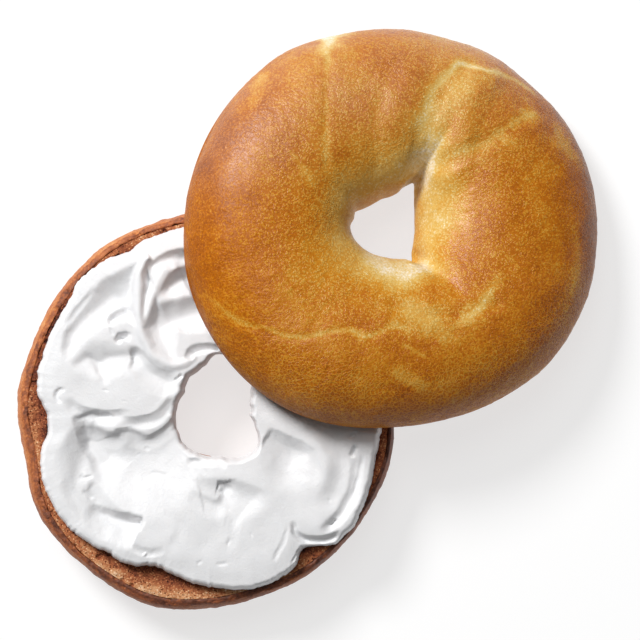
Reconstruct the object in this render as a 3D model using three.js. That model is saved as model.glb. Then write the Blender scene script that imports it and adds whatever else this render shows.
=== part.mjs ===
// A bagel sliced in two. The base half lies cut side up and is spread with soft white cheese,
// and the top half leans on it: its near side rests on the base half's rim, its far edge on the table.
// Millimetres and degrees, +Z up. The table is z = 0, and the origin is the middle of what it covers.

import * as THREE from 'three';

// ---------------------------------------------------------------------------------------------
// Driving dimensions
// ---------------------------------------------------------------------------------------------

const CLEARANCE = 0.3; // left between pieces that lie on each other

// Base half
const BASE_CENTRE = [-27.1, -23.7];
const BASE_CUT = 19; // height of the cut face
const BASE_WIDEST = 11; // height of the widest level
const BASE_FOOT = 9; // how far the side curves in down to the flat bottom
const BASE_HOLE_FLARE = 8; // how far the hole's wall curves out down to the flat bottom
const BASE_HOLE_CENTRE = [3, 0.3]; // of the hole in the base half, from the half's own centre
const BASE_EDGE = 0.5; // rounding of the cut face's two edges
const BASE_FLARE_BEND = 0.3; // share of its height and width at which the flaring wall bends
const BASE_SHOULDER_STEPS = [1, 0.62, 0.3, 0]; // points on the quarter curve down from the cut face
const BASE_FOOT_STEPS = [0.3, 0.55, 0.8, 1]; // points on the quarter curve down to the flat bottom

// Radii of the widest level, every 15 degrees counted from +X
const BASE_RADII = [
  50.4, 50.8, 51.2, 51.4, 51.8, 52.2, 52.4, 51.8, 51.4, 50.4, 49.6, 49.8,
  50.4, 49.8, 52.4, 53.4, 53.8, 54.6, 53.6, 52.4, 52.2, 51.8, 51.4, 51.4,
];

// How far the cut face's rim lies inside the widest level, every 45 degrees
const BASE_INSET = [1.6, 2, 2.8, 3.2, 3.4, 3, 2.8, 2];

// The base half's hole, from its own centre: direction and radius
const BASE_HOLE = [
  [0, 9.6], [22, 10.8], [45, 13.2], [68, 14.6], [90, 14.8], [107, 12.2], [128, 11.4], [152, 10.6],
  [180, 11], [208, 12.6], [234, 13.8], [256, 13.6], [278, 14], [297, 15.6], [318, 15.6], [338, 11.6],
];

// Top half, in its own frame: its cut face is z = 0
const TOP_SHIFT = 67.6; // level distance from the base half's centre to the top half's
const TOP_DIRECTION = 44; // direction in which the top half leans away from the base half
const TOP_TILT = 15; // of its cut face to the table
const TOP_HEIGHT = 21; // of the dome above the cut face
const TOP_WIDEST = 4; // height of the widest level above the cut face
const TOP_TUCK = 1; // how far the rim of the cut face lies inside the widest level
const TOP_HOLE_WALL = 3; // height at which the hole is narrowest
const TOP_CREST = 0.5; // where the crest runs, as a share of the width from the hole outwards
const FULLNESS = 2.2; // exponent of the crust's quarter curves, on both halves: 2 is an ellipse

// Radii of the widest level, every 15 degrees
const TOP_RADII = [
  56, 56.8, 56.8, 55.6, 55.4, 54.4, 54.2, 54, 54.6, 54.6, 54.6, 54.8,
  55.4, 56.4, 56.6, 56.8, 56.2, 54.6, 53, 52.6, 53.2, 54.6, 55.4, 55.8,
];

// The top half's hole: direction and radius. Its corners are where folds in the dough run into it.
const TOP_HOLE = [
  [0, 7], [25, 7.8], [46, 10.2], [56, 12.8], [62, 15], [67, 13.8], [76, 11.4], [88, 9.8], [104, 9],
  [122, 8.5], [141, 9.3], [155, 10.8], [168, 10.8], [180, 11.6], [195, 11.4], [212, 10.4], [248, 8.6],
  [285, 8.7], [304, 10.3], [318, 8.2], [340, 7.1],
];

// Folds in the top half's skin, from above: route, half width and depth at its two ends.
// A negative depth is a swelling.
const TOP_FOLDS = [
  { width: [3, 6], depth: [0.5, 2.6],
    route: [[19, 42], [15, 39.5], [9.5, 33], [6.5, 24.5], [5.5, 16], [6, 11]] },
  { width: [6, 7], depth: [-0.7, -1.2],
    route: [[24, 38], [18, 31], [14.5, 22], [13.5, 13]] },
  { width: [6, 6], depth: [-0.5, -0.7],
    route: [[3, 38], [-1, 29], [-2, 20], [-1, 13]] },
  { width: [4, 3], depth: [0.9, 0.6],
    route: [[-55, -12], [-51, -22], [-40.5, -29], [-28, -32], [-7.5, -31], [4, -29]] },
  { width: [3, 3], depth: [0.5, 0.4],
    route: [[-3, -24], [6, -26], [15, -25.5], [24, -23]] },
  { width: [2.5, 3], depth: [0.4, 0.5],
    route: [[-16, 48.5], [-18.5, 42], [-20, 28], [-19.5, 13]] },
  { width: [3, 4], depth: [0.4, 0.9],
    route: [[34.5, 27.5], [23, 20.5], [12, 15]] },
  { width: [4, 3], depth: [1.2, 0.4],
    route: [[6, -8], [9, -13], [14, -19]] },
];

// Cheese, in the base half's frame, with heights above its cut face
const CHEESE_LEVEL = 4.2;
const CHEESE_BANK = 0.7; // how much the outer bank stands over the level
const CHEESE_BANK_WIDTH = 2.6; // from the bank's crest to where it has fallen to about a third
const CHEESE_EDGE = 3.2; // width over which the top rounds down to the edge
const CHEESE_RIM = 1.2; // thickness of the edge itself
const CHEESE_LEAST = 0.5; // thickness that is left where the top half presses on it
const CHEESE_OVERHANG = 0.6; // how far it stands out over the hole

// Outer edge of the cheese: direction and radius
const CHEESE_OUTLINE = [
  [0, 47], [20, 46], [45, 45.2], [70, 46.5], [96, 48.2], [108, 47.4], [116, 46.2], [126, 47.4],
  [136, 47], [143, 45.8], [158, 45.3], [170, 45], [176, 43.8], [182, 41.6], [188, 42], [195, 45],
  [204, 46.8], [214, 47.8], [230, 46.9], [236, 45.6], [241, 46], [246, 45.3], [252, 43.4],
  [258, 44.2], [265, 46], [274, 47.4], [283, 49], [292, 48.9], [299, 48], [304.5, 45.3],
  [309, 46.6], [314, 49.6], [324, 49.7], [337, 48], [347, 46.8],
];

// What the knife left, in the order of its strokes.
// A scoop is a hollow round its route, with a floor height, a lip height and the way in which the lip leans.
// A ridge is a rounded crest along its route, and a groove is cut along it.
const STROKES = [
  { form: 'scoop', width: [3.6, 4], floor: 3.6, lip: 4.3,
    route: [[46, 2], [44, -5], [42, -14], [39, -24], [33, -31.5]] },
  { form: 'ridge', width: [1.8, 1.8], crest: [4.9, 4.9],
    route: [[42, -5], [39.5, -12], [37, -21], [32, -28.5], [25, -33]] },
  { form: 'scoop', width: [10.5, 12.5], floor: 3.1, lip: 3.9, lean: [0.2, 1],
    route: [[-2.5, -32], [8, -33.5], [14, -33]] },
  { form: 'scoop', width: [6.4, 7.2], floor: 2.7, lip: 4.5, lean: [0.4, 0.5],
    route: [[21, -9.5], [25, -15]] },
  { form: 'scoop', width: [11.6, 12.2], floor: 2.5, lip: 4.2, lean: [-0.3, 0.6],
    route: [[-23, -9.5], [-16.5, -11]] },
  { form: 'scoop', width: [9, 8.6], floor: 2.6, lip: 4.4, lean: [-0.2, -0.7],
    route: [[-29, 9.5], [-22, 8.5], [-15.5, 8.5]] },
  { form: 'ridge', width: [1.8, 2.2], crest: [5, 4.8],
    route: [[-35.5, 3.5], [-33, 0], [-24, -3.5], [-13, -2.5], [-8.5, 1.5]] },
  { form: 'ridge', width: [3.6, 4], crest: [4.6, 4.7],
    route: [[-35, 15.5], [-33, 19], [-30, 22], [-26.5, 23.5]] },
  { form: 'ridge', width: [2.8, 2.6], crest: [5.2, 5],
    route: [[-39.5, 0.5], [-39.5, -8], [-37.5, -18], [-32.5, -26.5], [-24.5, -33.5], [-19.5, -36.5]] },
  { form: 'groove', width: [1.1, 2], depth: [0.9, 2.1],
    route: [[-37, -0.5], [-35.5, -9], [-33, -18], [-25.5, -27], [-14.5, -29.5]] },
  { form: 'ridge', width: [1.2, 1.1], crest: [5, 4.6],
    route: [[-35.5, -1], [-33.5, -8], [-31.5, -13.5], [-25, -21.5], [-13, -29]] },
  { form: 'groove', width: [1.6, 2], depth: [1.3, 1.2],
    route: [[-35.5, -25], [-32, -29], [-27.5, -31.5], [-22, -33.5]] },
  { form: 'ridge', width: [2, 2.2], crest: [4.4, 4.8],
    route: [[-20.5, -25], [-14.5, -24], [-9.5, -20.5], [-5, -17], [0.5, -16]] },
  { form: 'ridge', width: [2.8, 3], crest: [4.5, 4.7],
    route: [[-24.5, -31.5], [-17, -33], [-11, -31.5]] },
  { form: 'scoop', width: [3.5, 3.5], floor: 2.9, lip: 4.4, lean: [-0.4, 0.5],
    route: [[-28, 28.5], [-23, 31], [-18, 34.5]] },
  { form: 'groove', width: [1.4, 1.6], depth: [1.1, 0.8],
    route: [[-37, 9.5], [-38, 14.5], [-37, 19], [-34, 23.5], [-30, 27.5]] },
  { form: 'scoop', width: [2.1, 1.7], floor: 3.1, lip: 4.4, lean: [0, 0.3],
    route: [[-23.5, 24], [-19.5, 26.5]] },
  { form: 'scoop', width: [1.8, 1.5], floor: 3.1, lip: 4.4, lean: [0, 0.3],
    route: [[-22.5, 19], [-19, 19.5]] },
  { form: 'scoop', width: [7.7, 8], floor: 2.5, lip: 4.6, lean: [-0.3, 0.3],
    route: [[-6.5, 21.5], [2.5, 24.5]] },
  { form: 'scoop', width: [2.4, 3.2], floor: 2.7, lip: 4.5, lean: [-0.1, 0.4],
    route: [[-9, 31.5], [-1, 39]] },
  { form: 'groove', width: [1.1, 1.4], depth: [1.1, 1.6],
    route: [[-15, 31.5], [-14.5, 36.5], [-10, 40], [-2.5, 43.5]] },
  { form: 'ridge', width: [1.9, 1.7], crest: [5.5, 4.6],
    route: [[-15, 41], [-16.5, 33], [-16.5, 25], [-16, 19.5], [-13, 15], [-8, 11.5], [-3, 10.5]] },
  { form: 'ridge', width: [1.7, 1.2], crest: [4.9, 4.5],
    route: [[-6.5, -17], [1, -16.5], [9, -15.5], [14, -12], [17, -8], [18.5, -4], [16, 2]] },
  { form: 'groove', width: [1.1, 1.4], depth: [1.2, 1.2],
    route: [[-5.5, -14.5], [0, -14.5], [6, -14]] },
];
const SCOOP_STEEPNESS = 2.4; // exponent of a scoop's wall
const SCOOP_SOFTNESS = 0.16; // share of a scoop's width over which its rim blends in
const SCOOP_REACH = 1.3; // share of its width past which a scoop's wall rises no more
const RIDGE_ROUNDNESS = 1; // how fast a ridge falls away, in mm at its half width
const RIDGE_BLEND = 0.4; // height over which a ridge's foot blends in
const GROOVE_ROUNDNESS = 1.5; // exponent of a groove's section: higher is narrower at the bottom
const STROKE_FADE = 0.15; // share of a stroke's length over which it starts and ends

// How finely the surfaces are divided
const BASE_TURNS = 72;
const TOP_TURNS = 90;
const CHEESE_TURNS = 144;
const CHEESE_ROWS = 17;
const DOME_STEPS = 7; // in each of the dome's two quarter curves
const ROUTE_STEPS = 5; // between two points of a route

// ---------------------------------------------------------------------------------------------
// Curves
// ---------------------------------------------------------------------------------------------

const radians = THREE.MathUtils.degToRad;
const smoothstep = THREE.MathUtils.smoothstep;
const lerp = THREE.MathUtils.lerp;

// A list of radii at equal steps round the circle, as pairs of direction and radius
const evenly = (radii) => radii.map((radius, i) => [(i * 360) / radii.length, radius]);

// A closed outline's radius in one direction, on a smooth curve through its pairs
function radiusAt(outline, angle) {
  const count = outline.length;
  const degrees = ((THREE.MathUtils.radToDeg(angle) % 360) + 360) % 360;
  let i = outline.findLastIndex(([direction]) => direction <= degrees);
  const pair = (k) => {
    const turns = Math.floor(k / count);
    const [direction, radius] = outline[k - turns * count];
    return [direction + 360 * turns, radius];
  };
  if (i < 0) i = count - 1;
  const [[a0, r0], [a1, r1], [a2, r2], [a3, r3]] = [pair(i - 1), pair(i), pair(i + 1), pair(i + 2)];
  const u = (degrees - a1) / (a2 - a1);
  const slopeIn = ((r2 - r0) / (a2 - a0)) * (a2 - a1);
  const slopeOut = ((r3 - r1) / (a3 - a1)) * (a2 - a1);
  return (
    (2 * u ** 3 - 3 * u ** 2 + 1) * r1 + (u ** 3 - 2 * u ** 2 + u) * slopeIn +
    (-2 * u ** 3 + 3 * u ** 2) * r2 + (u ** 3 - u ** 2) * slopeOut
  );
}

const towards = (centre, angle, radius) =>
  new THREE.Vector2(centre[0] + radius * Math.cos(angle), centre[1] + radius * Math.sin(angle));

// A smooth line through the points of a route
function line(route) {
  const curve = new THREE.SplineCurve(route.map(([x, y]) => new THREE.Vector2(x, y)));
  return curve.getPoints((route.length - 1) * ROUTE_STEPS);
}

// Where a point lies beside a line: how far off, how far along from 0 to 1, and in which direction
function beside(point, points) {
  const best = { distance: Infinity, along: 0, away: new THREE.Vector2() };
  const step = new THREE.Vector2();
  const offset = new THREE.Vector2();
  for (let i = 0; i + 1 < points.length; i += 1) {
    step.subVectors(points[i + 1], points[i]);
    offset.subVectors(point, points[i]);
    const t = THREE.MathUtils.clamp(offset.dot(step) / step.lengthSq(), 0, 1);
    offset.addScaledVector(step, -t);
    if (offset.length() < best.distance) {
      best.distance = offset.length();
      best.along = (i + t) / (points.length - 1);
      best.away.copy(offset).normalize();
    }
  }
  return best;
}

const between = ([start, end], share) => lerp(start, end, share);

// 1 along a stroke, falling to 0 at both of its ends
const fade = (along) => smoothstep(along, 0, STROKE_FADE) * smoothstep(1 - along, 0, STROKE_FADE);

// A quarter of a rounded rectangle: from the point furthest out at 0 to its top at 1
function quarter(share, fullness) {
  const angle = (share * Math.PI) / 2;
  return [Math.cos(angle) ** (2 / fullness), Math.sin(angle) ** (2 / fullness)];
}

// ---------------------------------------------------------------------------------------------
// Ring bodies
// ---------------------------------------------------------------------------------------------

// A closed ring. section(angle) gives the loop of points round its tube: up the hole's wall,
// outwards over the top, down the outer side and back along the bottom.
function ringGeometry(turns, section) {
  const positions = [];
  let rows = 0;
  for (let i = 0; i < turns; i += 1) {
    const loop = section((2 * Math.PI * i) / turns);
    rows = loop.length;
    for (const point of loop) positions.push(point.x, point.y, point.z);
  }
  const indices = [];
  for (let i = 0; i < turns; i += 1) {
    for (let j = 0; j < rows; j += 1) {
      const a = i * rows + j;
      const b = i * rows + ((j + 1) % rows);
      const c = ((i + 1) % turns) * rows + ((j + 1) % rows);
      const d = ((i + 1) % turns) * rows + j;
      indices.push(a, b, c, a, c, d);
    }
  }
  const geometry = new THREE.BufferGeometry();
  geometry.setAttribute('position', new THREE.Float32BufferAttribute(positions, 3));
  geometry.setIndex(indices);
  geometry.computeVertexNormals();
  return geometry;
}

// Turns pairs of width and height into points on the upright plane from one point of the hole's
// outline to one of the outer outline
function onSection(inner, outer, pairs) {
  const direction = outer.clone().sub(inner).normalize();
  return pairs.map(([w, z]) => new THREE.Vector3(inner.x + direction.x * w, inner.y + direction.y * w, z));
}

const baseOutline = evenly(BASE_RADII);
const baseInset = evenly(BASE_INSET);
const topOutline = evenly(TOP_RADII);

function baseSection(angle) {
  const inner = towards(BASE_HOLE_CENTRE, angle, radiusAt(BASE_HOLE, angle));
  const outer = towards([0, 0], angle, radiusAt(baseOutline, angle));
  const width = inner.distanceTo(outer);
  const inset = radiusAt(baseInset, angle);
  const rise = BASE_CUT - BASE_EDGE - BASE_WIDEST;
  const pairs = [
    [BASE_HOLE_FLARE, 0],
    [BASE_HOLE_FLARE * BASE_FLARE_BEND, BASE_WIDEST * BASE_FLARE_BEND],
    [0, BASE_WIDEST],
    [0, BASE_CUT - BASE_EDGE],
    [BASE_EDGE, BASE_CUT],
    [width / 2, BASE_CUT],
    [width - inset - BASE_EDGE, BASE_CUT],
  ];
  for (const share of BASE_SHOULDER_STEPS) {
    const [out, up] = quarter(share, FULLNESS);
    pairs.push([width - inset + inset * out, BASE_WIDEST + rise * up]);
  }
  for (const share of BASE_FOOT_STEPS) {
    const [out, down] = quarter(share, FULLNESS);
    pairs.push([width - BASE_FOOT + BASE_FOOT * out, BASE_WIDEST * (1 - down)]);
  }
  return onSection(inner, outer, pairs);
}

const topFolds = TOP_FOLDS.map((fold) => ({ ...fold, points: line(fold.route) }));

// How far the top half's skin stands out, or in where it is negative, at a point seen from above
function topRelief(point) {
  let relief = 0;
  for (const { points, width, depth } of topFolds) {
    const { distance, along } = beside(point, points);
    const q = Math.min(distance / between(width, along), 1);
    relief -= between(depth, along) * (1 - q * q) ** 2;
  }
  return relief;
}

function topSection(angle) {
  const inner = towards([0, 0], angle, radiusAt(TOP_HOLE, angle));
  const outer = towards([0, 0], angle, radiusAt(topOutline, angle));
  const width = inner.distanceTo(outer);
  const crest = width * TOP_CREST;
  const dome = [];
  for (let i = 0; i < DOME_STEPS; i += 1) {
    const [out, up] = quarter(i / DOME_STEPS, FULLNESS);
    dome.push([crest - crest * out, TOP_HOLE_WALL + (TOP_HEIGHT - TOP_HOLE_WALL) * up]);
  }
  for (let i = DOME_STEPS; i >= 0; i -= 1) {
    const [out, up] = quarter(i / DOME_STEPS, FULLNESS);
    dome.push([crest + (width - crest) * out, TOP_WIDEST + (TOP_HEIGHT - TOP_WIDEST) * up]);
  }
  const skin = onSection(inner, outer, dome);
  const [core] = onSection(inner, outer, [[crest, TOP_WIDEST]]);
  for (const point of skin) {
    const outwards = point.clone().sub(core).normalize();
    point.addScaledVector(outwards, topRelief(new THREE.Vector2(point.x, point.y)));
  }
  const cut = onSection(inner, outer, [[width - TOP_TUCK, 0], [width / 2, 0], [BASE_EDGE, 0]]);
  return [...skin, ...cut];
}

// ---------------------------------------------------------------------------------------------
// Where the top half leans
// ---------------------------------------------------------------------------------------------

const tilt = radians(TOP_TILT);
const leanAngle = radians(TOP_DIRECTION);
const lean = new THREE.Vector2(Math.cos(leanAngle), Math.sin(leanAngle));

// Height at which its cut face's centre stands, so that the rim's lowest point is on the table
function topRestHeight() {
  let lowest = 0;
  for (let i = 0; i < TOP_TURNS; i += 1) {
    const angle = (2 * Math.PI * i) / TOP_TURNS;
    const reach = (radiusAt(topOutline, angle) - TOP_TUCK) * Math.cos(angle - leanAngle);
    lowest = Math.max(lowest, reach * Math.sin(tilt));
  }
  return lowest;
}
const restHeight = topRestHeight();

// Height of the leaning cut face over a point given in the base half's frame
function undersideOver(point) {
  return restHeight + (TOP_SHIFT - point.dot(lean)) * Math.tan(tilt);
}

// ---------------------------------------------------------------------------------------------
// Cheese
// ---------------------------------------------------------------------------------------------

const strokes = STROKES.map((stroke) => ({ ...stroke, points: line(stroke.route) }));

const strokeForms = {
  // Replaces the surface by a bowl whose wall rises from the floor to the lip
  scoop(height, place, { width, floor, lip, lean: way = [0, 0] }) {
    const q = place.distance / between(width, place.along);
    const rim = lip - floor + way[0] * place.away.x + way[1] * place.away.y;
    const bowl = floor + rim * Math.min(q, SCOOP_REACH) ** SCOOP_STEEPNESS;
    const share = 1 - smoothstep(q, 1 - SCOOP_SOFTNESS, 1 + SCOOP_SOFTNESS);
    return lerp(height, bowl, share);
  },
  // Raises the surface to a rounded crest, with a soft foot
  ridge(height, place, { width, crest }) {
    const q = place.distance / between(width, place.along);
    const ridge = between(crest, place.along) - RIDGE_ROUNDNESS * q * q - (1 - fade(place.along));
    const share = THREE.MathUtils.clamp(0.5 + (0.5 * (ridge - height)) / RIDGE_BLEND, 0, 1);
    return lerp(height, ridge, share) + RIDGE_BLEND * share * (1 - share);
  },
  // Cuts a rounded channel
  groove(height, place, { width, depth }) {
    const q = Math.min(place.distance / between(width, place.along), 1);
    return height - between(depth, place.along) * fade(place.along) * (1 - q * q) ** GROOVE_ROUNDNESS;
  },
};

function cheeseHeight(point, fromOutside) {
  const fromCrest = (fromOutside - CHEESE_EDGE) / CHEESE_BANK_WIDTH;
  let height = CHEESE_LEVEL + CHEESE_BANK * Math.exp(-(fromCrest ** 2));
  for (const stroke of strokes) {
    height = strokeForms[stroke.form](height, beside(point, stroke.points), stroke);
  }
  return height;
}

// 0 at the edge of the cheese, 1 where its top is clear of it
function edgeRounding(distance) {
  const u = Math.min(distance / CHEESE_EDGE, 1);
  return Math.sqrt(1 - (1 - u) ** 2);
}

function cheeseSection(angle) {
  const inner = towards(BASE_HOLE_CENTRE, angle, radiusAt(BASE_HOLE, angle) - CHEESE_OVERHANG);
  const outer = towards([0, 0], angle, radiusAt(CHEESE_OUTLINE, angle));
  const width = inner.distanceTo(outer);
  const bottom = BASE_CUT + CLEARANCE;
  const top = [];
  for (let j = 0; j <= CHEESE_ROWS; j += 1) {
    const share = 0.5 - 0.5 * Math.cos((Math.PI * j) / CHEESE_ROWS);
    const point = inner.clone().lerp(outer, share);
    const rounding = edgeRounding(share * width) * edgeRounding((1 - share) * width);
    const free = lerp(CHEESE_RIM, cheeseHeight(point, (1 - share) * width), rounding);
    const pressed = undersideOver(point) - CLEARANCE;
    const height = Math.max(Math.min(BASE_CUT + free, pressed), bottom + CHEESE_LEAST);
    top.push(new THREE.Vector3(point.x, point.y, height));
  }
  return [...top, new THREE.Vector3(outer.x, outer.y, bottom), new THREE.Vector3(inner.x, inner.y, bottom)];
}

// ---------------------------------------------------------------------------------------------
// The bagel
// ---------------------------------------------------------------------------------------------

function named(name, geometry, color, roughness) {
  const mesh = new THREE.Mesh(geometry, new THREE.MeshStandardMaterial({ color, roughness, metalness: 0 }));
  mesh.name = name;
  return mesh;
}

const bagel = new THREE.Group();

const lower = new THREE.Group();
lower.position.set(BASE_CENTRE[0], BASE_CENTRE[1], 0);
lower.add(named('base_half', ringGeometry(BASE_TURNS, baseSection), 0xa8632f, 0.6));
lower.add(named('cream_cheese', ringGeometry(CHEESE_TURNS, cheeseSection), 0xf1efeb, 0.4));
bagel.add(lower);

const upper = new THREE.Group();
upper.position.set(
  BASE_CENTRE[0] + TOP_SHIFT * lean.x,
  BASE_CENTRE[1] + TOP_SHIFT * lean.y,
  restHeight,
);
upper.quaternion.setFromAxisAngle(new THREE.Vector3(-lean.y, lean.x, 0), tilt);
upper.add(named('top_half', ringGeometry(TOP_TURNS, topSection), 0xbf7a31, 0.45));
bagel.add(upper);

export default bagel;
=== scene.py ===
"""A bagel sliced in two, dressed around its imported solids.

The base half lies cut side up under soft white cheese, and the golden top half leans on it.
Every piece is a closed ring: a loop of points round the tube of dough, carried round the hole.
Shapes are worked out in millimetres, +Z up, and written to the meshes in metres.
"""

import math

import bpy
import numpy as np
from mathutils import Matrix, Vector


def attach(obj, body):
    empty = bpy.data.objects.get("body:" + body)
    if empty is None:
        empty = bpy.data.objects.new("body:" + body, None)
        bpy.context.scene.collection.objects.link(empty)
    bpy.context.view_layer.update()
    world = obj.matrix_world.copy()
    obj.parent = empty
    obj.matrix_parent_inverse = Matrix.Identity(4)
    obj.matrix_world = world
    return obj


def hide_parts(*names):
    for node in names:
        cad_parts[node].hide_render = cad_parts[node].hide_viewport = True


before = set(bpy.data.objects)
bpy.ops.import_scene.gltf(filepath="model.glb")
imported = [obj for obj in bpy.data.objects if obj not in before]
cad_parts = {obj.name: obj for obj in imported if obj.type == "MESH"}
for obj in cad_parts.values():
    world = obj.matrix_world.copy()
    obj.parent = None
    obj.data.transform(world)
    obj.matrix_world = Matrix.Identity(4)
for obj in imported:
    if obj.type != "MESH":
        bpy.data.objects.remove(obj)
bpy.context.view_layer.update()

bl_info = {
    "name": "Sliced bagel with soft cheese",
    "version": (1, 0, 0),
    "blender": (4, 5, 0),
    "location": "View3D > Sidebar > Bagel",
    "description": "Toasted base half spread with soft cheese, golden top half leaning on it",
    "category": "Add Mesh",
}

MM = 0.001
BODY = "root"

# ---------------------------------------------------------------------------------------------
# Driving dimensions, in millimetres and degrees
# ---------------------------------------------------------------------------------------------

CLEARANCE = 0.3  # between pieces that lie on each other
FULLNESS = 2.2  # exponent of the crust's quarter curves: 2 is an ellipse

BASE_CENTRE = (-27.1, -23.7)
BASE_CUT = 19  # height of the cut face
BASE_WIDEST = 11  # height of the widest level
BASE_FOOT = 9  # how far the side curves in down to the flat bottom
BASE_HOLE_FLARE = 8  # how far the hole's wall curves out down to the flat bottom
BASE_HOLE_CENTRE = (3, 0.3)  # from the half's own centre
# BASE_REACH also scales the painted shade on the base half's side turned from the light
BASE_REACH = 52  # its usual radius, by which the browning of its sides is scaled

# Radii of the base half's widest level, every 15 degrees counted from +X
BASE_RADII = (50.4, 50.8, 51.2, 51.4, 51.8, 52.2, 52.4, 51.8, 51.4, 50.4, 49.6, 49.8,
              50.4, 49.8, 52.4, 53.4, 53.8, 54.6, 53.6, 52.4, 52.2, 51.8, 51.4, 51.4)
# How far the cut face's rim lies inside the widest level, every 45 degrees
BASE_INSET = (1.6, 1.8, 2.2, 2.5, 3, 2.8, 2.8, 2)
# The base half's hole: direction and radius
BASE_HOLE = ((0, 9.6), (22, 10.8), (45, 13.2), (68, 14.6), (90, 14.8), (107, 12.2), (128, 11.4),
             (152, 10.6), (180, 11), (208, 12.6), (234, 13.8), (256, 13.6), (278, 14), (297, 15.6),
             (318, 15.6), (338, 11.6))

TOP_SHIFT = 67.6  # level distance from the base half's centre to the top half's
TOP_DIRECTION = 44  # way in which the top half leans away from the base half
TOP_TILT = 15  # of its cut face to the table
TOP_HEIGHT = 21  # of the dome above the cut face
TOP_WIDEST = 4  # height of the widest level above the cut face
TOP_TUCK = 1  # how far the rim of the cut face lies inside the widest level
TOP_HOLE_WALL = 3  # height at which the hole is narrowest
TOP_CREST = 0.5  # where the crest runs, as a share of the width from the hole outwards
# TOP_REACH also scales the painted shade on the top half's side turned from the light
TOP_REACH = 56  # its usual radius, by which the browning of its sides is scaled

# Radii of the top half's widest level, every 15 degrees
TOP_RADII = (56, 56.8, 56.8, 55.6, 55.4, 54.4, 54.2, 54, 54.6, 54.6, 54.6, 54.8,
             55.4, 56.4, 56.6, 56.8, 56.2, 54.6, 53, 52.6, 53.2, 54.6, 55.4, 55.8)
# The top half's hole: direction and radius. Its corners are where folds run into it.
TOP_HOLE = ((0, 7), (25, 7.8), (46, 10.2), (56, 12.8), (62, 15), (67, 13.8), (76, 11.4), (88, 9.8),
            (104, 9), (122, 8.5), (141, 9.3), (155, 10.8), (168, 10.8), (180, 11.6), (195, 11.4),
            (212, 10.4), (248, 8.6), (285, 8.7), (304, 10.3), (318, 8.2), (340, 7.1))

# Folds in the top half's skin, from above: half widths and depths along a route.
# A negative depth is a swelling.
TOP_FOLDS = (
    ((2.4, 5), (0.2, 0.6), ((19, 42), (15, 39.5), (9.5, 33), (6.5, 24.5), (5.5, 16), (6, 11))),
    ((6, 7), (-0.6, -0.9), ((24, 38), (18, 31), (14.5, 22), (13.5, 13))),
    ((6, 6), (-0.5, -0.7), ((3, 38), (-1, 29), (-2, 20), (-1, 13))),
    ((1.4, 1.6, 1.2), (0.14, 0.18, 0.12),
     ((-55, -13), (-51.7, -20.5), (-44.3, -27.5), (-37.5, -30.5), (-30.7, -32.5), (-25, -32.5),
      (-18, -30.7), (-14.5, -30.9), (-10.3, -32.4), (-5.5, -30.3), (0, -29.4))),
    ((3, 3), (0.3, 0.3), ((-3, -24), (6, -26), (15, -25.5), (24, -23))),
    ((1.8, 1.4), (0.14, 0.16), ((-16, 48.5), (-18.5, 42), (-20.3, 28), (-20.4, 13))),
    ((3, 4), (0.15, 0.6), ((34.5, 27.5), (23, 20.5), (12, 15))),
    ((4, 3), (0.8, 0.3), ((6, -8), (9, -13), (14, -19))),
)

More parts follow.
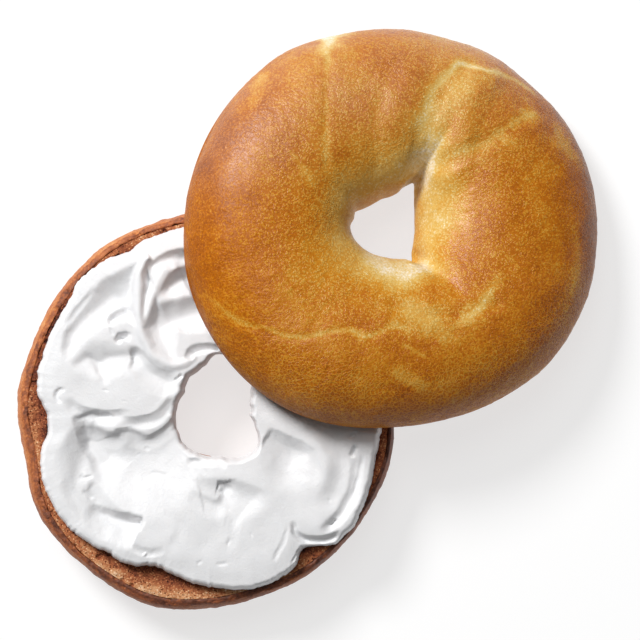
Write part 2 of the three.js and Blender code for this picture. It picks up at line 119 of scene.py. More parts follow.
# Places where the top half's skin stayed pale, stretched open as the dough rose, or unfolded in
# the oven: half widths and paleness along a route.
PALE_SEAMS = (
    # the long seam on the -X side, torn open at the edge
    ((3.4, 2.8, 1.2, 0.5), (1.0, 1.0, 0.6, 0.3), ((-16, 53), (-18.8, 46), (-18.8, 41.5), (-19.6, 38))),
    ((0.4, 0.4, 0.4, 1.4, 0.8), (0.2, 0.17, 0.15, 0.4, 0.15),
     ((-19.6, 38), (-20.3, 31), (-20.5, 24), (-20.4, 17), (-20.8, 11))),
    # the fold that runs into the hole's corner, and the seam that turns off from its outer end
    ((1.2, 1.7, 1.7, 2.0), (0.75, 0.6, 0.42, 0.3),
     ((16.1, 42.2), (11, 36.7), (8.1, 31.9), (6.5, 26.5), (4.8, 20.7), (4.8, 14))),
    ((5, 5, 4, 4), (0.35, 0.3, 0.4, 0.5), ((18, 38), (12, 31), (8, 23), (5.5, 14))),
    ((0.9, 0.9, 0.7, 0.7), (0.9, 0.8, 0.6, 0.6),
     ((16.1, 42.2), (21, 41.3), (27.4, 40.2), (33.2, 38.1), (37.5, 35.5))),
    # the fold to the right of it, and stretched spots beside that
    ((1.6, 1.2, 0.8), (0.6, 0.35, 0.2), ((36, 28), (31, 27), (23, 20.5), (12, 16))),
    ((3.0, 2.4), (0.45, 0.4), ((43, 25), (49, 17))),
    ((1.2, 1.4), (0.4, 0.3), ((26, 22), (29, 20))),
    # the long crease from the -X side towards -Y, and the short splits past its end
    ((0.5, 0.6, 0.7, 0.6), (0.2, 0.4, 0.5, 0.45),
     ((-51.7, -20), (-44.3, -27), (-37.5, -30), (-30.7, -32), (-25, -32), (-18, -30.2), (-14.5, -30.4))),
    ((0.7, 0.7, 0.6), (0.6, 0.5, 0.35),
     ((-14.5, -30.4), (-10.3, -32), (-5.5, -30), (-1.3, -29.1), (2.7, -29.3), (6.7, -27.9))),
    ((0.5, 0.6, 0.5), (0.5, 0.7, 0.5), ((9.8, -30.3), (13.4, -28.1), (16.7, -23))),
    ((0.5, 0.6), (0.5, 0.4), ((-0.8, -34.4), (4.5, -36.8))),
    # stretched patches on the -Y side, high on the -X side and round the hole
    ((3.4, 4.2, 2.6), (0.45, 0.5, 0.3), ((1, -24), (7, -29), (13, -33))),
    ((1.4, 1.8, 1.4), (0.6, 0.75, 0.4), ((14, -28), (20, -24), (24, -17))),
    ((2.2, 1.6), (0.4, 0.45), ((-2, -41.5), (4, -44))),
    ((1.6, 1.2), (0.4, 0.3), ((-35.5, 39), (-39, 30))),
    ((0.8, 1.0), (0.25, 0.2), ((-30, 16), (-24, 8))),
    ((3.5, 4.5, 4.5, 3), (0.3, 0.45, 0.45, 0.3), ((-8, -10), (-2, -16), (3, -13), (11, -13))),
    ((1.0, 1.2, 1.0), (0.2, 0.3, 0.2), ((46, 0), (47.5, -12), (44, -24))),
    ((3.5, 3.5, 3), (0.08, 0.1, 0.06), ((-9, -5), (-3, -9.5), (5, -9), (8.5, -2), (7, 9))),
)

# Soft cheese, in the base half's frame, with heights above its cut face
CHEESE_LEVEL = 5.2
CHEESE_SAG = 0.8  # how far it sinks towards its outer edge
CHEESE_SAG_WIDTH = 4  # and over what width
CHEESE_EDGE = 1.5  # width over which the top rounds down to the edge
CHEESE_RIM = 1.4  # thickness of the edge itself
CHEESE_LEAST = 0.5  # thickness that is left where the top half presses on it
CHEESE_OVERHANG = 0.6  # how far it stands out over the hole
LISTED_LEVEL = 4.2  # the level that the strokes' own heights are counted from
STROKE_DEPTH = 2.5  # how much deeper the strokes are cut than they are listed

# Outer edge of the cheese: direction and radius
CHEESE_OUTLINE = (
    (0, 47), (20, 46), (45, 45.2), (70, 46.5), (96, 48.2), (108, 47.4), (116, 46.2), (126, 47.4),
    (136, 47), (143, 45.8), (158, 45.3), (170, 45), (176, 43.8), (182, 41.6), (188, 42), (195, 45),
    (204, 46.8), (214, 47.8), (230, 46.9), (236, 45.6), (241, 46), (246, 45.3), (252, 43.4),
    (258, 44.2), (265, 46), (274, 47.4), (283, 49), (292, 48.9), (299, 48), (304.5, 45.3),
    (309, 46.6), (314, 49.6), (324, 49.7), (337, 48), (347, 46.8),
)

# How finely the rings are divided, round the hole and across a cut face
CRUST_TURNS = 860
CRUMB_TURNS = 1000
CHEESE_TURNS = 860
CUT_ROWS = 90

# Stage
CAMERA_OVER = (3.4, -0.15)  # the point over which the camera stands
LIGHT_DISTANCE = 1.6  # metres from the bagel to each light
FLOOR_REACH = 6.0  # metres from the floor's middle to its edges
# Each light's direction, counted from +X, its angle from straight up, and its width in metres
KEY_LIGHT = (130, 44, 0.50)
OVERHEAD_LIGHT = (105, 22, 0.70)


# ---------------------------------------------------------------------------------------------
# Curves and uneven patterns
# ---------------------------------------------------------------------------------------------

def smoothstep(low, high, x):
    """0 below low, 1 above high, and the smooth cubic 3t^2 - 2t^3 between them."""
    t = np.clip((x - low) / (high - low), 0, 1)
    return t * t * (3 - 2 * t)


def turns(count):
    """Equal steps once round the circle, in radians."""
    return 2 * math.pi * np.arange(count) / count


def circle(radius, angles):
    """Points round a level circle. Unevenness that is taken there closes on itself."""
    return np.stack([radius * np.cos(angles), radius * np.sin(angles), 0 * angles], -1)


def evenly(radii):
    """A list of radii at equal steps round the circle, as pairs of degrees and radius."""
    return tuple((360 * i / len(radii), radius) for i, radius in enumerate(radii))


def outline_radius(pairs, angles):
    """A closed outline's radius at each angle: a cubic through its pairs of degrees and radius,
    whose slope at a pair is that of the straight line between the pair's two neighbours."""
    known, radii = np.array(pairs, float).T
    known = np.concatenate([known[-2:] - 360, known, known[:3] + 360])
    radii = np.concatenate([radii[-2:], radii, radii[:3]])
    degrees = np.degrees(angles) % 360
    i = np.searchsorted(known, degrees, side="right") - 1
    gap = known[i + 1] - known[i]
    u = (degrees - known[i]) / gap
    slope_in = (radii[i + 1] - radii[i - 1]) / (known[i + 1] - known[i - 1]) * gap
    slope_out = (radii[i + 2] - radii[i]) / (known[i + 2] - known[i]) * gap
    return ((2 * u**3 - 3 * u**2 + 1) * radii[i] + (u**3 - 2 * u**2 + u) * slope_in
            + (3 * u**2 - 2 * u**3) * radii[i + 1] + (u**3 - u**2) * slope_out)


def quarter(share):
    """A quarter of a rounded rectangle as (out, up): out = cos(a)^(2/F) and up = sin(a)^(2/F),
    where a runs from 0 at the point furthest out to a right angle at the top."""
    angle = np.asarray(share) * math.pi / 2
    return np.cos(angle).clip(0) ** (2 / FULLNESS), np.sin(angle).clip(0) ** (2 / FULLNESS)


def scatter(i, j, k, seed):
    """A fixed random number from 0 to 1 for each lattice point: the three whole numbers and the
    seed are mixed by multiplying with large odd numbers and folding the high bits down."""
    mixed = (i * 374761393 + j * 668265263 + k * 1442695041 + seed * 974711) & 0xFFFFFFFF
    mixed = ((mixed ^ (mixed >> 13)) * 1274126177) & 0xFFFFFFFF
    mixed = ((mixed ^ (mixed >> 15)) * 2246822519) & 0xFFFFFFFF
    return ((mixed ^ (mixed >> 16)) & 0xFFFFFF) / 0xFFFFFF


def lumps(points, size, seed):
    """Smooth random hills from -1 to 1, about `size` across: random numbers on a lattice, blended
    between the eight corners round each point by the smooth cubic."""
    place = np.asarray(points, float) / size
    cell = np.floor(place).astype(np.int64)
    part = place - cell
    part = part * part * (3 - 2 * part)
    total = 0
    for corner in np.ndindex(2, 2, 2):
        weight = 1
        for axis in range(3):
            share = part[..., axis]
            weight = weight * (share if corner[axis] else 1 - share)
        i, j, k = (cell[..., axis] + corner[axis] for axis in range(3))
        total = total + weight * scatter(i, j, k, seed)
    return 2 * total - 1


def rough(points, size, seed, layers=3):
    """Hills upon hills: each further layer is half as wide and half as high."""
    return sum(lumps(points, size / 2**n, seed + n) / 2**n for n in range(layers))


def bubbles(points, spacing, seed):
    """For one bubble in each cell of a jittered lattice: the distance from each point to the
    nearest bubble's middle, in millimetres, and that bubble's own random number."""
    place = np.asarray(points, float) / spacing
    cell = np.floor(place).astype(np.int64)
    nearest = np.full(place.shape[:-1], 9.0)
    own = np.zeros(place.shape[:-1])
    for step in np.ndindex(3, 3, 3):
        i, j, k = (cell[..., axis] + step[axis] - 1 for axis in range(3))
        offset = [place[..., axis] - n - scatter(i, j, k, seed + axis)
                  for axis, n in enumerate((i, j, k))]
        distance = np.sqrt(sum(o * o for o in offset))
        closer = distance < nearest
        nearest = np.where(closer, distance, nearest)
        own = np.where(closer, scatter(i, j, k, seed + 3), own)
    return nearest * spacing, own


def smooth_route(route, steps=6):
    """A smooth line through a route's points: between two of them, the cubic whose slope at each
    point is half the line between its two neighbours."""
    p = np.array(route, float)
    if len(p) == 2:
        share = np.linspace(0, 1, steps + 1)[:, None]
        return p[0] * (1 - share) + p[1] * share
    q = np.vstack([2 * p[0] - p[1], p, 2 * p[-1] - p[-2]])
    t = (np.arange(steps) / steps)[:, None, None]
    a, b, c, d = q[:-3], q[1:-2], q[2:-1], q[3:]
    curve = 0.5 * (2 * b + (c - a) * t + (2 * a - 5 * b + 4 * c - d) * t**2
                   + (3 * b - a - 3 * c + d) * t**3)
    return np.vstack([curve.transpose(1, 0, 2).reshape(-1, 2), p[-1:]])


def beside(x, y, route, reach):
    """Which points lie within reach of a route's box, and for those: the distance to the route,
    negative on its right side, the share of its length at the nearest spot, and the unit way from
    that spot to the point."""
    line = smooth_route(route)
    low, high = line.min(0) - reach, line.max(0) + reach
    near = (x > low[0]) & (x < high[0]) & (y > low[1]) & (y < high[1])
    px, py = x[near], y[near]
    step = np.diff(line, axis=0)
    length = np.hypot(*step.T)
    run = np.concatenate([[0], np.cumsum(length)])
    distance, share = np.full(px.shape, 1e9), np.zeros(px.shape)
    way = np.zeros(px.shape + (2,))
    side = np.ones(px.shape)
    for k, (dx, dy) in enumerate(step):
        ox, oy = px - line[k, 0], py - line[k, 1]
        t = np.clip((ox * dx + oy * dy) / (length[k]**2 + 1e-12), 0, 1)
        ex, ey = ox - t * dx, oy - t * dy
        d = np.hypot(ex, ey)
        closer = d < distance
        distance = np.where(closer, d, distance)
        share = np.where(closer, (run[k] + t * length[k]) / run[-1], share)
        way[closer] = np.stack([ex, ey], -1)[closer]
        side = np.where(closer, np.where(dx * ey < dy * ex, -1, 1), side)
    way /= np.maximum(distance, 1e-6)[:, None]
    return near, side * distance, share, way


def along(values, share):
    """The value at a share of a route's length, straight between the evenly spaced values."""
    return np.interp(share, np.linspace(0, 1, len(values)), values)


def fade_ends(share, ends):
    """1 along a stroke, falling smoothly to 0 over the given share of its length at each end."""
    start, finish = (max(end, 1e-3) for end in ends)
    return smoothstep(0, start, share) * smoothstep(0, finish, 1 - share)


# ---------------------------------------------------------------------------------------------
# Rings
# ---------------------------------------------------------------------------------------------

class Spokes:
    """Upright planes from the hole's outline to the outer one, one for each turn."""

    def __init__(self, hole_centre, hole, outer, count):
        angles = turns(count)
        ray = np.stack([np.cos(angles), np.sin(angles)], -1)
        self.count = count
        self.angles = angles
        self.start = np.array(hole_centre) + ray * hole[:, None]
        span = ray * outer[:, None] - self.start
        self.width = np.hypot(*span.T)[:, None]
        self.way = span / self.width

    def points(self, *pieces):
        """Places pairs of (distance across from the hole, height) on the planes, side by side."""
        across, height = (
            np.hstack([np.broadcast_to(piece[part], (self.count, np.shape(piece[part])[-1]))
                       for piece in pieces])
            for part in (0, 1))
        flat = self.start[:, None] + self.way[:, None] * across[..., None]
        return np.dstack([flat, height])

    def across(self, grid):
        """How far each point of a grid lies from the hole, along its own plane."""
        return ((grid[..., :2] - self.start[:, None]) * self.way[:, None]).sum(-1)


def ring_normals(grid):
    """Unit normals of a closed ring: the cross product of the steps along and round it."""
    along_row = np.roll(grid, -1, 1) - np.roll(grid, 1, 1)
    round_ring = np.roll(grid, -1, 0) - np.roll(grid, 1, 0)
    normal = np.cross(along_row, round_ring)
    return normal / np.maximum(np.linalg.norm(normal, axis=-1, keepdims=True), 1e-9)


def ring_object(name, grid, material, attributes=None):
    """Writes a grid of points, closed both ways, as one mesh of four-sided faces.
    `attributes` holds one number for each point, under the name by which the material reads it."""
    count, rows = grid.shape[:2]
    i, j = np.meshgrid(np.arange(count), np.arange(rows), indexing="ij")
    right, over = (i + 1) % count, (j + 1) % rows
    faces = np.stack([i * rows + j, i * rows + over, right * rows + over, right * rows + j], -1)
    mesh = bpy.data.meshes.new(name)
    mesh.vertices.add(count * rows)
    mesh.vertices.foreach_set("co", (grid * MM).astype(np.float32).ravel())
    mesh.loops.add(4 * count * rows)
    mesh.loops.foreach_set("vertex_index", faces.astype(np.int32).ravel())
    mesh.polygons.add(count * rows)
    mesh.polygons.foreach_set("loop_start", np.arange(0, 4 * count * rows, 4, dtype=np.int32))
    mesh.polygons.foreach_set("use_smooth", np.ones(count * rows, bool))
    mesh.update(calc_edges=True)
    for key, values in (attributes or {}).items():
        layer = mesh.attributes.new(key, "FLOAT", "POINT")
        layer.data.foreach_set("value", np.asarray(values, np.float32).ravel())
    mesh.materials.append(material)
    made = bpy.data.objects.new(name, mesh)
    bpy.context.scene.collection.objects.link(made)
    return made


def hand_over(piece, solid):
    """The piece moves with the bagel's one body and stands for a solid of the frame."""
    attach(piece, BODY)
    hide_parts(solid)


def crumb_relief(points, seed):
    """Height of torn, toasted crumb: soft hills, less the hollows of burst bubbles of two sizes.
    A hollow is a rounded pit, 1 - (d / r)^2 deep inside its radius r."""
    relief = 0.20 * rough(points, 3.4, seed) + 0.16 * (0.5 - np.abs(rough(points, 1.3, seed + 9)))
    for spacing, least, most, depth in ((2.6, 0.3, 1.1, 0.9), (1.1, 0.2, 0.5, 0.6)):
        distance, own = bubbles(points, spacing, seed + 20)
        radius = least + (most - least) * own**2
        pit = (1 - (distance / radius)**2).clip(0)
        relief = relief - depth * radius * pit**0.7
    return relief


# ---------------------------------------------------------------------------------------------
# Base half
# ---------------------------------------------------------------------------------------------

def base_spokes(count):
    """The base half's planes, at its widest level."""
    angles = turns(count)
    return Spokes(BASE_HOLE_CENTRE, outline_radius(BASE_HOLE, angles),
                  outline_radius(evenly(BASE_RADII), angles), count)


def base_skin():
    """The base half's crust: up the hole's wall, over a rebate in which the crumb lies, down the
    outer side by two quarter curves and back along the flat bottom. Its cut rims stand proud and
    are torn, by hills in height and width."""
    spokes = base_spokes(CRUST_TURNS)
    width = spokes.width
    inset = outline_radius(evenly(BASE_INSET), spokes.angles)[:, None]
    rim = width - inset
    rise = BASE_CUT - BASE_WIDEST
    ring = circle(50, spokes.angles)
    torn = (0.24 * rough(ring, 3.2, 11) + 0.18 * rough(ring, 1.1, 15))[:, None]
    lip = (0.5 + 0.2 * rough(ring, 2.5, 18))[:, None]
    out_low, up_low = quarter(np.linspace(1, 0, 14))
    out_side, up_side = quarter(np.linspace(1, 0, 30)[1:])
    out_foot, up_foot = quarter(np.linspace(0, 1, 26)[1:])
    floor = BASE_CUT - 2.2
    grid = spokes.points(
        (BASE_HOLE_FLARE * (1 - out_low), BASE_WIDEST * (1 - up_low)),
        (np.zeros(8), np.linspace(BASE_WIDEST, BASE_CUT - 0.6, 10)[1:-1]),
        (np.array([0.1, 0.35, 0.7, 1.0]), BASE_CUT - np.array([0.35, 0, 0.1, 0.7])),
        (np.array([1.3]), np.array([floor])),
        (0.5 * width, np.array([floor])),
        (rim - lip - 0.5, np.array([floor])),
        (rim - lip + np.array([-0.1, 0.0]), BASE_CUT + torn + np.array([-0.9, -0.25])),
        (rim - 0.5 * lip, BASE_CUT + torn),
        (rim + inset * out_side, BASE_WIDEST + rise * up_side),
        (width - BASE_FOOT * (1 - out_foot), BASE_WIDEST * (1 - up_foot)),
        (0.5 * width, np.array([0.0])),
    )
    height = grid[..., 2]
    side = smoothstep(1.5, 6, height) * smoothstep(BASE_CUT + 0.5, BASE_CUT - 1.5, height)
    outside = smoothstep(25, 40, np.hypot(grid[..., 0], grid[..., 1]))
    stretched = grid * (1, 1, 0.45)
    relief = 0.35 * rough(grid, 17, 31, 2) + 0.16 * rough(stretched, 3.0, 35) * outside
    distance, own = bubbles(grid, 2.6, 41)
    relief = relief + 0.12 * (1 - (distance / (0.5 + 0.8 * own))**2).clip(0)
    torn_skin = base_tear(grid)
    relief = relief * side * (1 - torn_skin) + (0.8 * crumb_relief(grid, 45) - 0.15) * torn_skin
    return grid + ring_normals(grid) * relief[..., None]


def base_tear(grid):
    """Where the knife tore the skin off the base half's shoulder and left rough crumb, from 0 to 1:
    a ragged strip under the rim, widest round the side that faces -X and +Y."""
    x, y, height = np.moveaxis(grid, -1, 0)
    facing = (0.85 * y - 0.53 * x) / np.maximum(np.hypot(x, y), 1)
    ragged = 0.55 * rough(grid, 3.5, 141) * smoothstep(-0.2, 0.5, facing)
    drop = 0.35 + 0.55 * smoothstep(0.2, 0.9, facing) + ragged
    outside = smoothstep(42, 43, np.hypot(x, y))
    return smoothstep(-0.15, 0.15, height - BASE_CUT + drop + 0.25 * rough(grid, 1.2, 145)) * outside


def base_browning_and_shade(grid):
    """How dark the base half's crust is, from 0 to 1: a sum of amounts, most at the cut rim
    that the toaster caught, where the skin is torn and towards the foot. Towards +X and -Y, the
    side turned from the light and under the top half, it is darker as painted shade."""
    x, y, height = np.moveaxis(grid, -1, 0)
    torn = base_tear(grid)
    rim = smoothstep(BASE_CUT - 0.9, BASE_CUT - 0.1, height + 0.4 * rough(grid, 1.6, 55))
    return sum((
        # painted shade: darker towards +X and -Y and on the far +X side, turned from the light
        0.12 * ((0.75 * x - 0.65 * y) / BASE_REACH),  # towards +X and -Y
        0.12 * smoothstep(0.6, 1, x / BASE_REACH),
        0.05 * smoothstep(-10, -45, x),
        0.10 * rough(grid, 11, 51),  # clouds, and streaks down the side
        0.08 * rough(grid * (1, 1, 0.3), 2.5, 53),
        0.22 * np.maximum(rim, torn),
        0.14 * torn * rough(grid, 1.4, 57),
        0.12 * smoothstep(9, 4, height),
    ), 0.52).clip(0, 1)


def base_crumb():
    """The base half's toasted cut face: a slab in the crust's rebate, dense towards the rim that
    shows beside the cheese, with the relief of torn crumb. It is darker on the sides that face -X,
    +Y and +X, partly toasted and partly painted shade where the crust's lip and the top half shade
    it. It is darker inwards next to the cheese and in its hollows, which is painted shade."""
    spokes = base_spokes(CRUMB_TURNS)
    inset = outline_radius(evenly(BASE_INSET), spokes.angles)[:, None]
    start, end = 0.55, spokes.width - inset - 0.5
    share = 1 - (1 - np.linspace(0, 1, CUT_ROWS))**1.9
    across = start + (end - start) * share
    bottom = BASE_CUT - 2.0
    side = np.array([0.35, 0.8, 1.4])
    grid = spokes.points(
        (across, np.full(across.shape, BASE_CUT - 0.25)),
        (end + 0 * side, BASE_CUT - side),
        (end - 0.3, np.array([bottom])),
        (0.5 * (start + end), np.array([bottom])),
        (np.array([start]), np.array([bottom])),
    )
    on_top = np.arange(grid.shape[1]) < CUT_ROWS
    from_rim = np.pad(end - across, ((0, 0), (0, grid.shape[1] - CUT_ROWS)), mode="edge")
    relief = crumb_relief(grid, 61)
    grid[..., 2] += (relief - 0.40 * smoothstep(0.3, 4.0, from_rim) + 0.25) * on_top
    x, y = grid[..., 0], grid[..., 1]
    toast_and_shade = sum((
        # painted shade: darker inwards, next to the cheese's edge
        0.34 * smoothstep(0.4, 4.5, from_rim + 0.8 * rough(grid, 2.2, 75)),
        # darker on the sides that face -X, +Y and +X: toasted, and painted shade under the crust's lip
        # and the top half
        0.30 * smoothstep(15, 40, 0.85 * y - 0.53 * x),
        0.25 * smoothstep(10, 35, x),
        0.12 * smoothstep(-20, -40, x),
        0.20 * rough(grid, 5, 71),
        # painted shade: darker in the hollows
        -0.35 * relief,
    ), 0.24)
    return grid, toast_and_shade.clip(0, 1)


# ---------------------------------------------------------------------------------------------
# Top half
# ---------------------------------------------------------------------------------------------

def top_spokes(count):
    """The top half's planes, at its widest level and round its own centre."""
    angles = turns(count)
    return Spokes((0, 0), outline_radius(TOP_HOLE, angles),
                  outline_radius(evenly(TOP_RADII), angles), count)


def top_rest_height():
    """Height of the cut face's centre at which the lowest point of its rim is on the table: the
    largest reach of the rim in the leaning direction, times the sine of the tilt."""
    angles = turns(90)
    rim = outline_radius(evenly(TOP_RADII), angles) - TOP_TUCK
    reach = rim * np.cos(angles - math.radians(TOP_DIRECTION))
    return reach.max() * math.sin(math.radians(TOP_TILT))


def lean_top(grid):
    """Turns the top half about the level line across its lean, and moves it into place."""
    direction, tilt = math.radians(TOP_DIRECTION), math.radians(TOP_TILT)
    axis = np.array([-math.sin(direction), math.cos(direction), 0])
    cross = np.cross(axis, grid)
    dot = (grid @ axis)[..., None] * axis
    turned = grid * math.cos(tilt) + cross * math.sin(tilt) + dot * (1 - math.cos(tilt))
    shift = (BASE_CENTRE[0] + TOP_SHIFT * math.cos(direction),
             BASE_CENTRE[1] + TOP_SHIFT * math.sin(direction), top_rest_height())
    return turned + np.array(shift)


def top_fold_relief(x, y):
    """How far the skin stands out: each fold lowers it by its depth times (1 - (d / width)^2)^2."""
    relief = np.zeros(x.shape)
    for width, depth, route in TOP_FOLDS:
        near, distance, share, _ = beside(x, y, route, max(width))
        q = (abs(distance) / along(width, share)).clip(0, 1)
        relief[near] -= along(depth, share) * (1 - q * q)**2
    return relief


def top_paleness(grid):
    """How pale the skin stayed, from 0 to 1: the strongest seam at a point, each falling off over
    its ragged half width."""
    x, y = grid[..., 0], grid[..., 1]
    ragged = 0.5 * rough(grid, 3.5, 81)
    x, y = x + 0.6 * rough(grid, 6, 84), y + 0.6 * rough(grid, 6, 87)
    pale = np.zeros(x.shape)
    for width, strength, route in PALE_SEAMS:
        near, distance, share, _ = beside(x, y, route, 2.5 * max(width))
        q = distance / (along(width, share) * (1 + ragged[near]))
        pale[near] = np.maximum(pale[near], along(strength, share) * np.exp(-q * q))
    return pale


def top_skin():
    """The top half's crust: up over the dome by a quarter curve on each side of the crest, round
    the cut rim, and back through a rebate in which the crumb lies. Folds, wide swellings and
    blisters stand out along the normals."""
    spokes = top_spokes(CRUST_TURNS)
    width = spokes.width
    crest = width * TOP_CREST
    out_in, up_in = quarter(np.linspace(0, 1, 40)[:-1])
    out_out, up_out = quarter(np.linspace(1, 0, 58))
    out_lip, up_lip = quarter(np.linspace(0, 1, 8)[1:])
    roof = 2.0
    grid = spokes.points(
        (crest * (1 - out_in), TOP_HOLE_WALL + (TOP_HEIGHT - TOP_HOLE_WALL) * up_in),
        (crest + (width - crest) * out_out, TOP_WIDEST + (TOP_HEIGHT - TOP_WIDEST) * up_out),
        (width - TOP_TUCK * (1 - out_lip), TOP_WIDEST * (1 - up_lip)),
        (width - TOP_TUCK - np.array([0.5, 0.9]), np.array([0.0, 0.3])),
        (width - TOP_TUCK - 1.1, np.array([roof])),
        (0.5 * width, np.array([roof])),
        (np.array([1.1]), np.array([roof])),
        (np.array([0.9, 0.5, 0.1, 0.0]), np.array([0.3, 0.0, 0.5, 1.6])),
    )
    height = grid[..., 2]
    skin = smoothstep(0.4, 3, height) * (np.arange(grid.shape[1]) < len(out_in) + len(out_out))
    normals = ring_normals(grid)
    folds = top_fold_relief(grid[..., 0], grid[..., 1])
    swell = 0.45 * rough(grid, 24, 91, 2) + 0.13 * rough(grid, 6, 95, 3)
    distance, own = bubbles(grid, 2.2, 101)
    blister = 0.09 * (1 - (distance / (0.5 + 0.7 * own))**2).clip(0)
    grid = grid + normals * ((folds + (swell + blister)) * skin)[..., None]
    return grid, spokes


def top_browning_and_shade(grid, spokes):
    """How dark the top half's crust is, from 0 to 1: a sum of amounts, less the paleness of
    its seams. It is pale in the hole and golden over the crest, and brown low on the outer side and
    on the side that faces -X. Painted shade darkens it towards +X and -Y and low on the +X side, and
    adds to the brown on the wall of the hole; painted light makes it paler on the side that faces
    -X and +Y."""
    x, y, height = np.moveaxis(grid, -1, 0)
    across = spokes.across(grid)
    near_edge = smoothstep(18, 3, spokes.width - across)
    brown = sum((
        0.35 * smoothstep(0.5, 15, across + 2.5 * rough(grid, 12, 111)),  # out of the hole
        0.08 * smoothstep(12, 26, across),
        # baked brown low on the outer side, and painted shade low on the +X side, turned from the light
        (0.02 + 0.17 * smoothstep(28, 53, x) * smoothstep(-30, -5, y)) * near_edge,
        # painted shade: darker towards +X and -Y, the side turned from the light
        0.02 * ((0.55 * x - 0.83 * y) / TOP_REACH),
        0.07 * rough(grid, 13, 115),
        # painted light: paler on the side that faces -X and +Y, towards the light
        -0.05 * smoothstep(10, 34, y) * smoothstep(-40, -15, x),  # the side that faces -X and +Y
        0.05 * smoothstep(-20, -42, x) * smoothstep(5, 30, y),
        0.08 * smoothstep(-28, -46, x) * smoothstep(40, 12, y),
        0.12 * np.exp(-((x - 11)**2 + (y + 8)**2) / 10**2),  # a patch beside the hole
        0.08 * smoothstep(6, 1, height) * smoothstep(6, 2, spokes.width - across),  # the foot
        # the wall of the hole: browned, and darker still as painted shade in the hole
        0.10 * smoothstep(14, 4, height) * smoothstep(8, 3, across),  # the wall of the hole
    ), 0.13)
    return (brown - 0.60 * top_paleness(grid)).clip(0.02, 1)


def top_blisters(grid, spokes):
    """Share of wide blisters among the fine ones, from 0 to 1: most low on the side that faces -Y
    and +X, where the skin was wettest, and fewer up the side that faces -X."""
    low = smoothstep(26, 4, spokes.width - spokes.across(grid))
    facing = (0.2 * grid[..., 0] - 0.98 * grid[..., 1]) / TOP_REACH
    return (low * (0.25 + 0.75 * smoothstep(-0.3, 0.7, facing)) + 0.15 * rough(grid, 9, 131)).clip(0, 1)


def top_satin(grid):
    """How much the top half's skin shines, from 0 to 1: the high skin, not the low sides and the
    wall of the hole, and little where it dried on the side that faces -X."""
    x, y, height = np.moveaxis(grid, -1, 0)
    return smoothstep(4, 18, height) * (1 - 0.75 * smoothstep(-30, -44, x) * smoothstep(20, 4, y))


def top_haze(grid):
    """Where the high skin is dulled by fine wrinkles, from 0 to 1: towards +Y, in patches."""
    x, y, height = np.moveaxis(grid, -1, 0)
    patchy = 0.75 + 0.35 * rough(grid, 8, 151)
    return (smoothstep(2, 44, y - 0.2 * x) * smoothstep(5, 14, height) * patchy).clip(0, 1)


def top_crumb():
    """The top half's toasted cut face, seen from below: a slab in the crust's rebate whose torn
    side faces down."""
    spokes = top_spokes(CRUMB_TURNS)
    start, end = 0.6, spokes.width - TOP_TUCK - 0.7
    across = end + (start - end) * np.linspace(0, 1, CUT_ROWS)
    roof = 1.8
    grid = spokes.points(
        (across, np.full(across.shape, 0.25)),
        (np.array([start, start]), np.array([0.8, roof])),
        (0.5 * (start + end), np.array([roof])),
        (end, np.array([roof])),
        (end, np.array([0.8])),
    )
    on_face = np.arange(grid.shape[1]) < CUT_ROWS
    relief = crumb_relief(grid, 121)
    grid[..., 2] -= (relief.clip(max=0.2) + 0.05) * on_face
    # painted shade: darker in the hollows of the crumb
    toast_and_shade = 0.45 + 0.22 * rough(grid, 6, 125) - 0.30 * relief
    return grid, toast_and_shade.clip(0, 1)


# ---------------------------------------------------------------------------------------------
# Soft cheese
# ---------------------------------------------------------------------------------------------

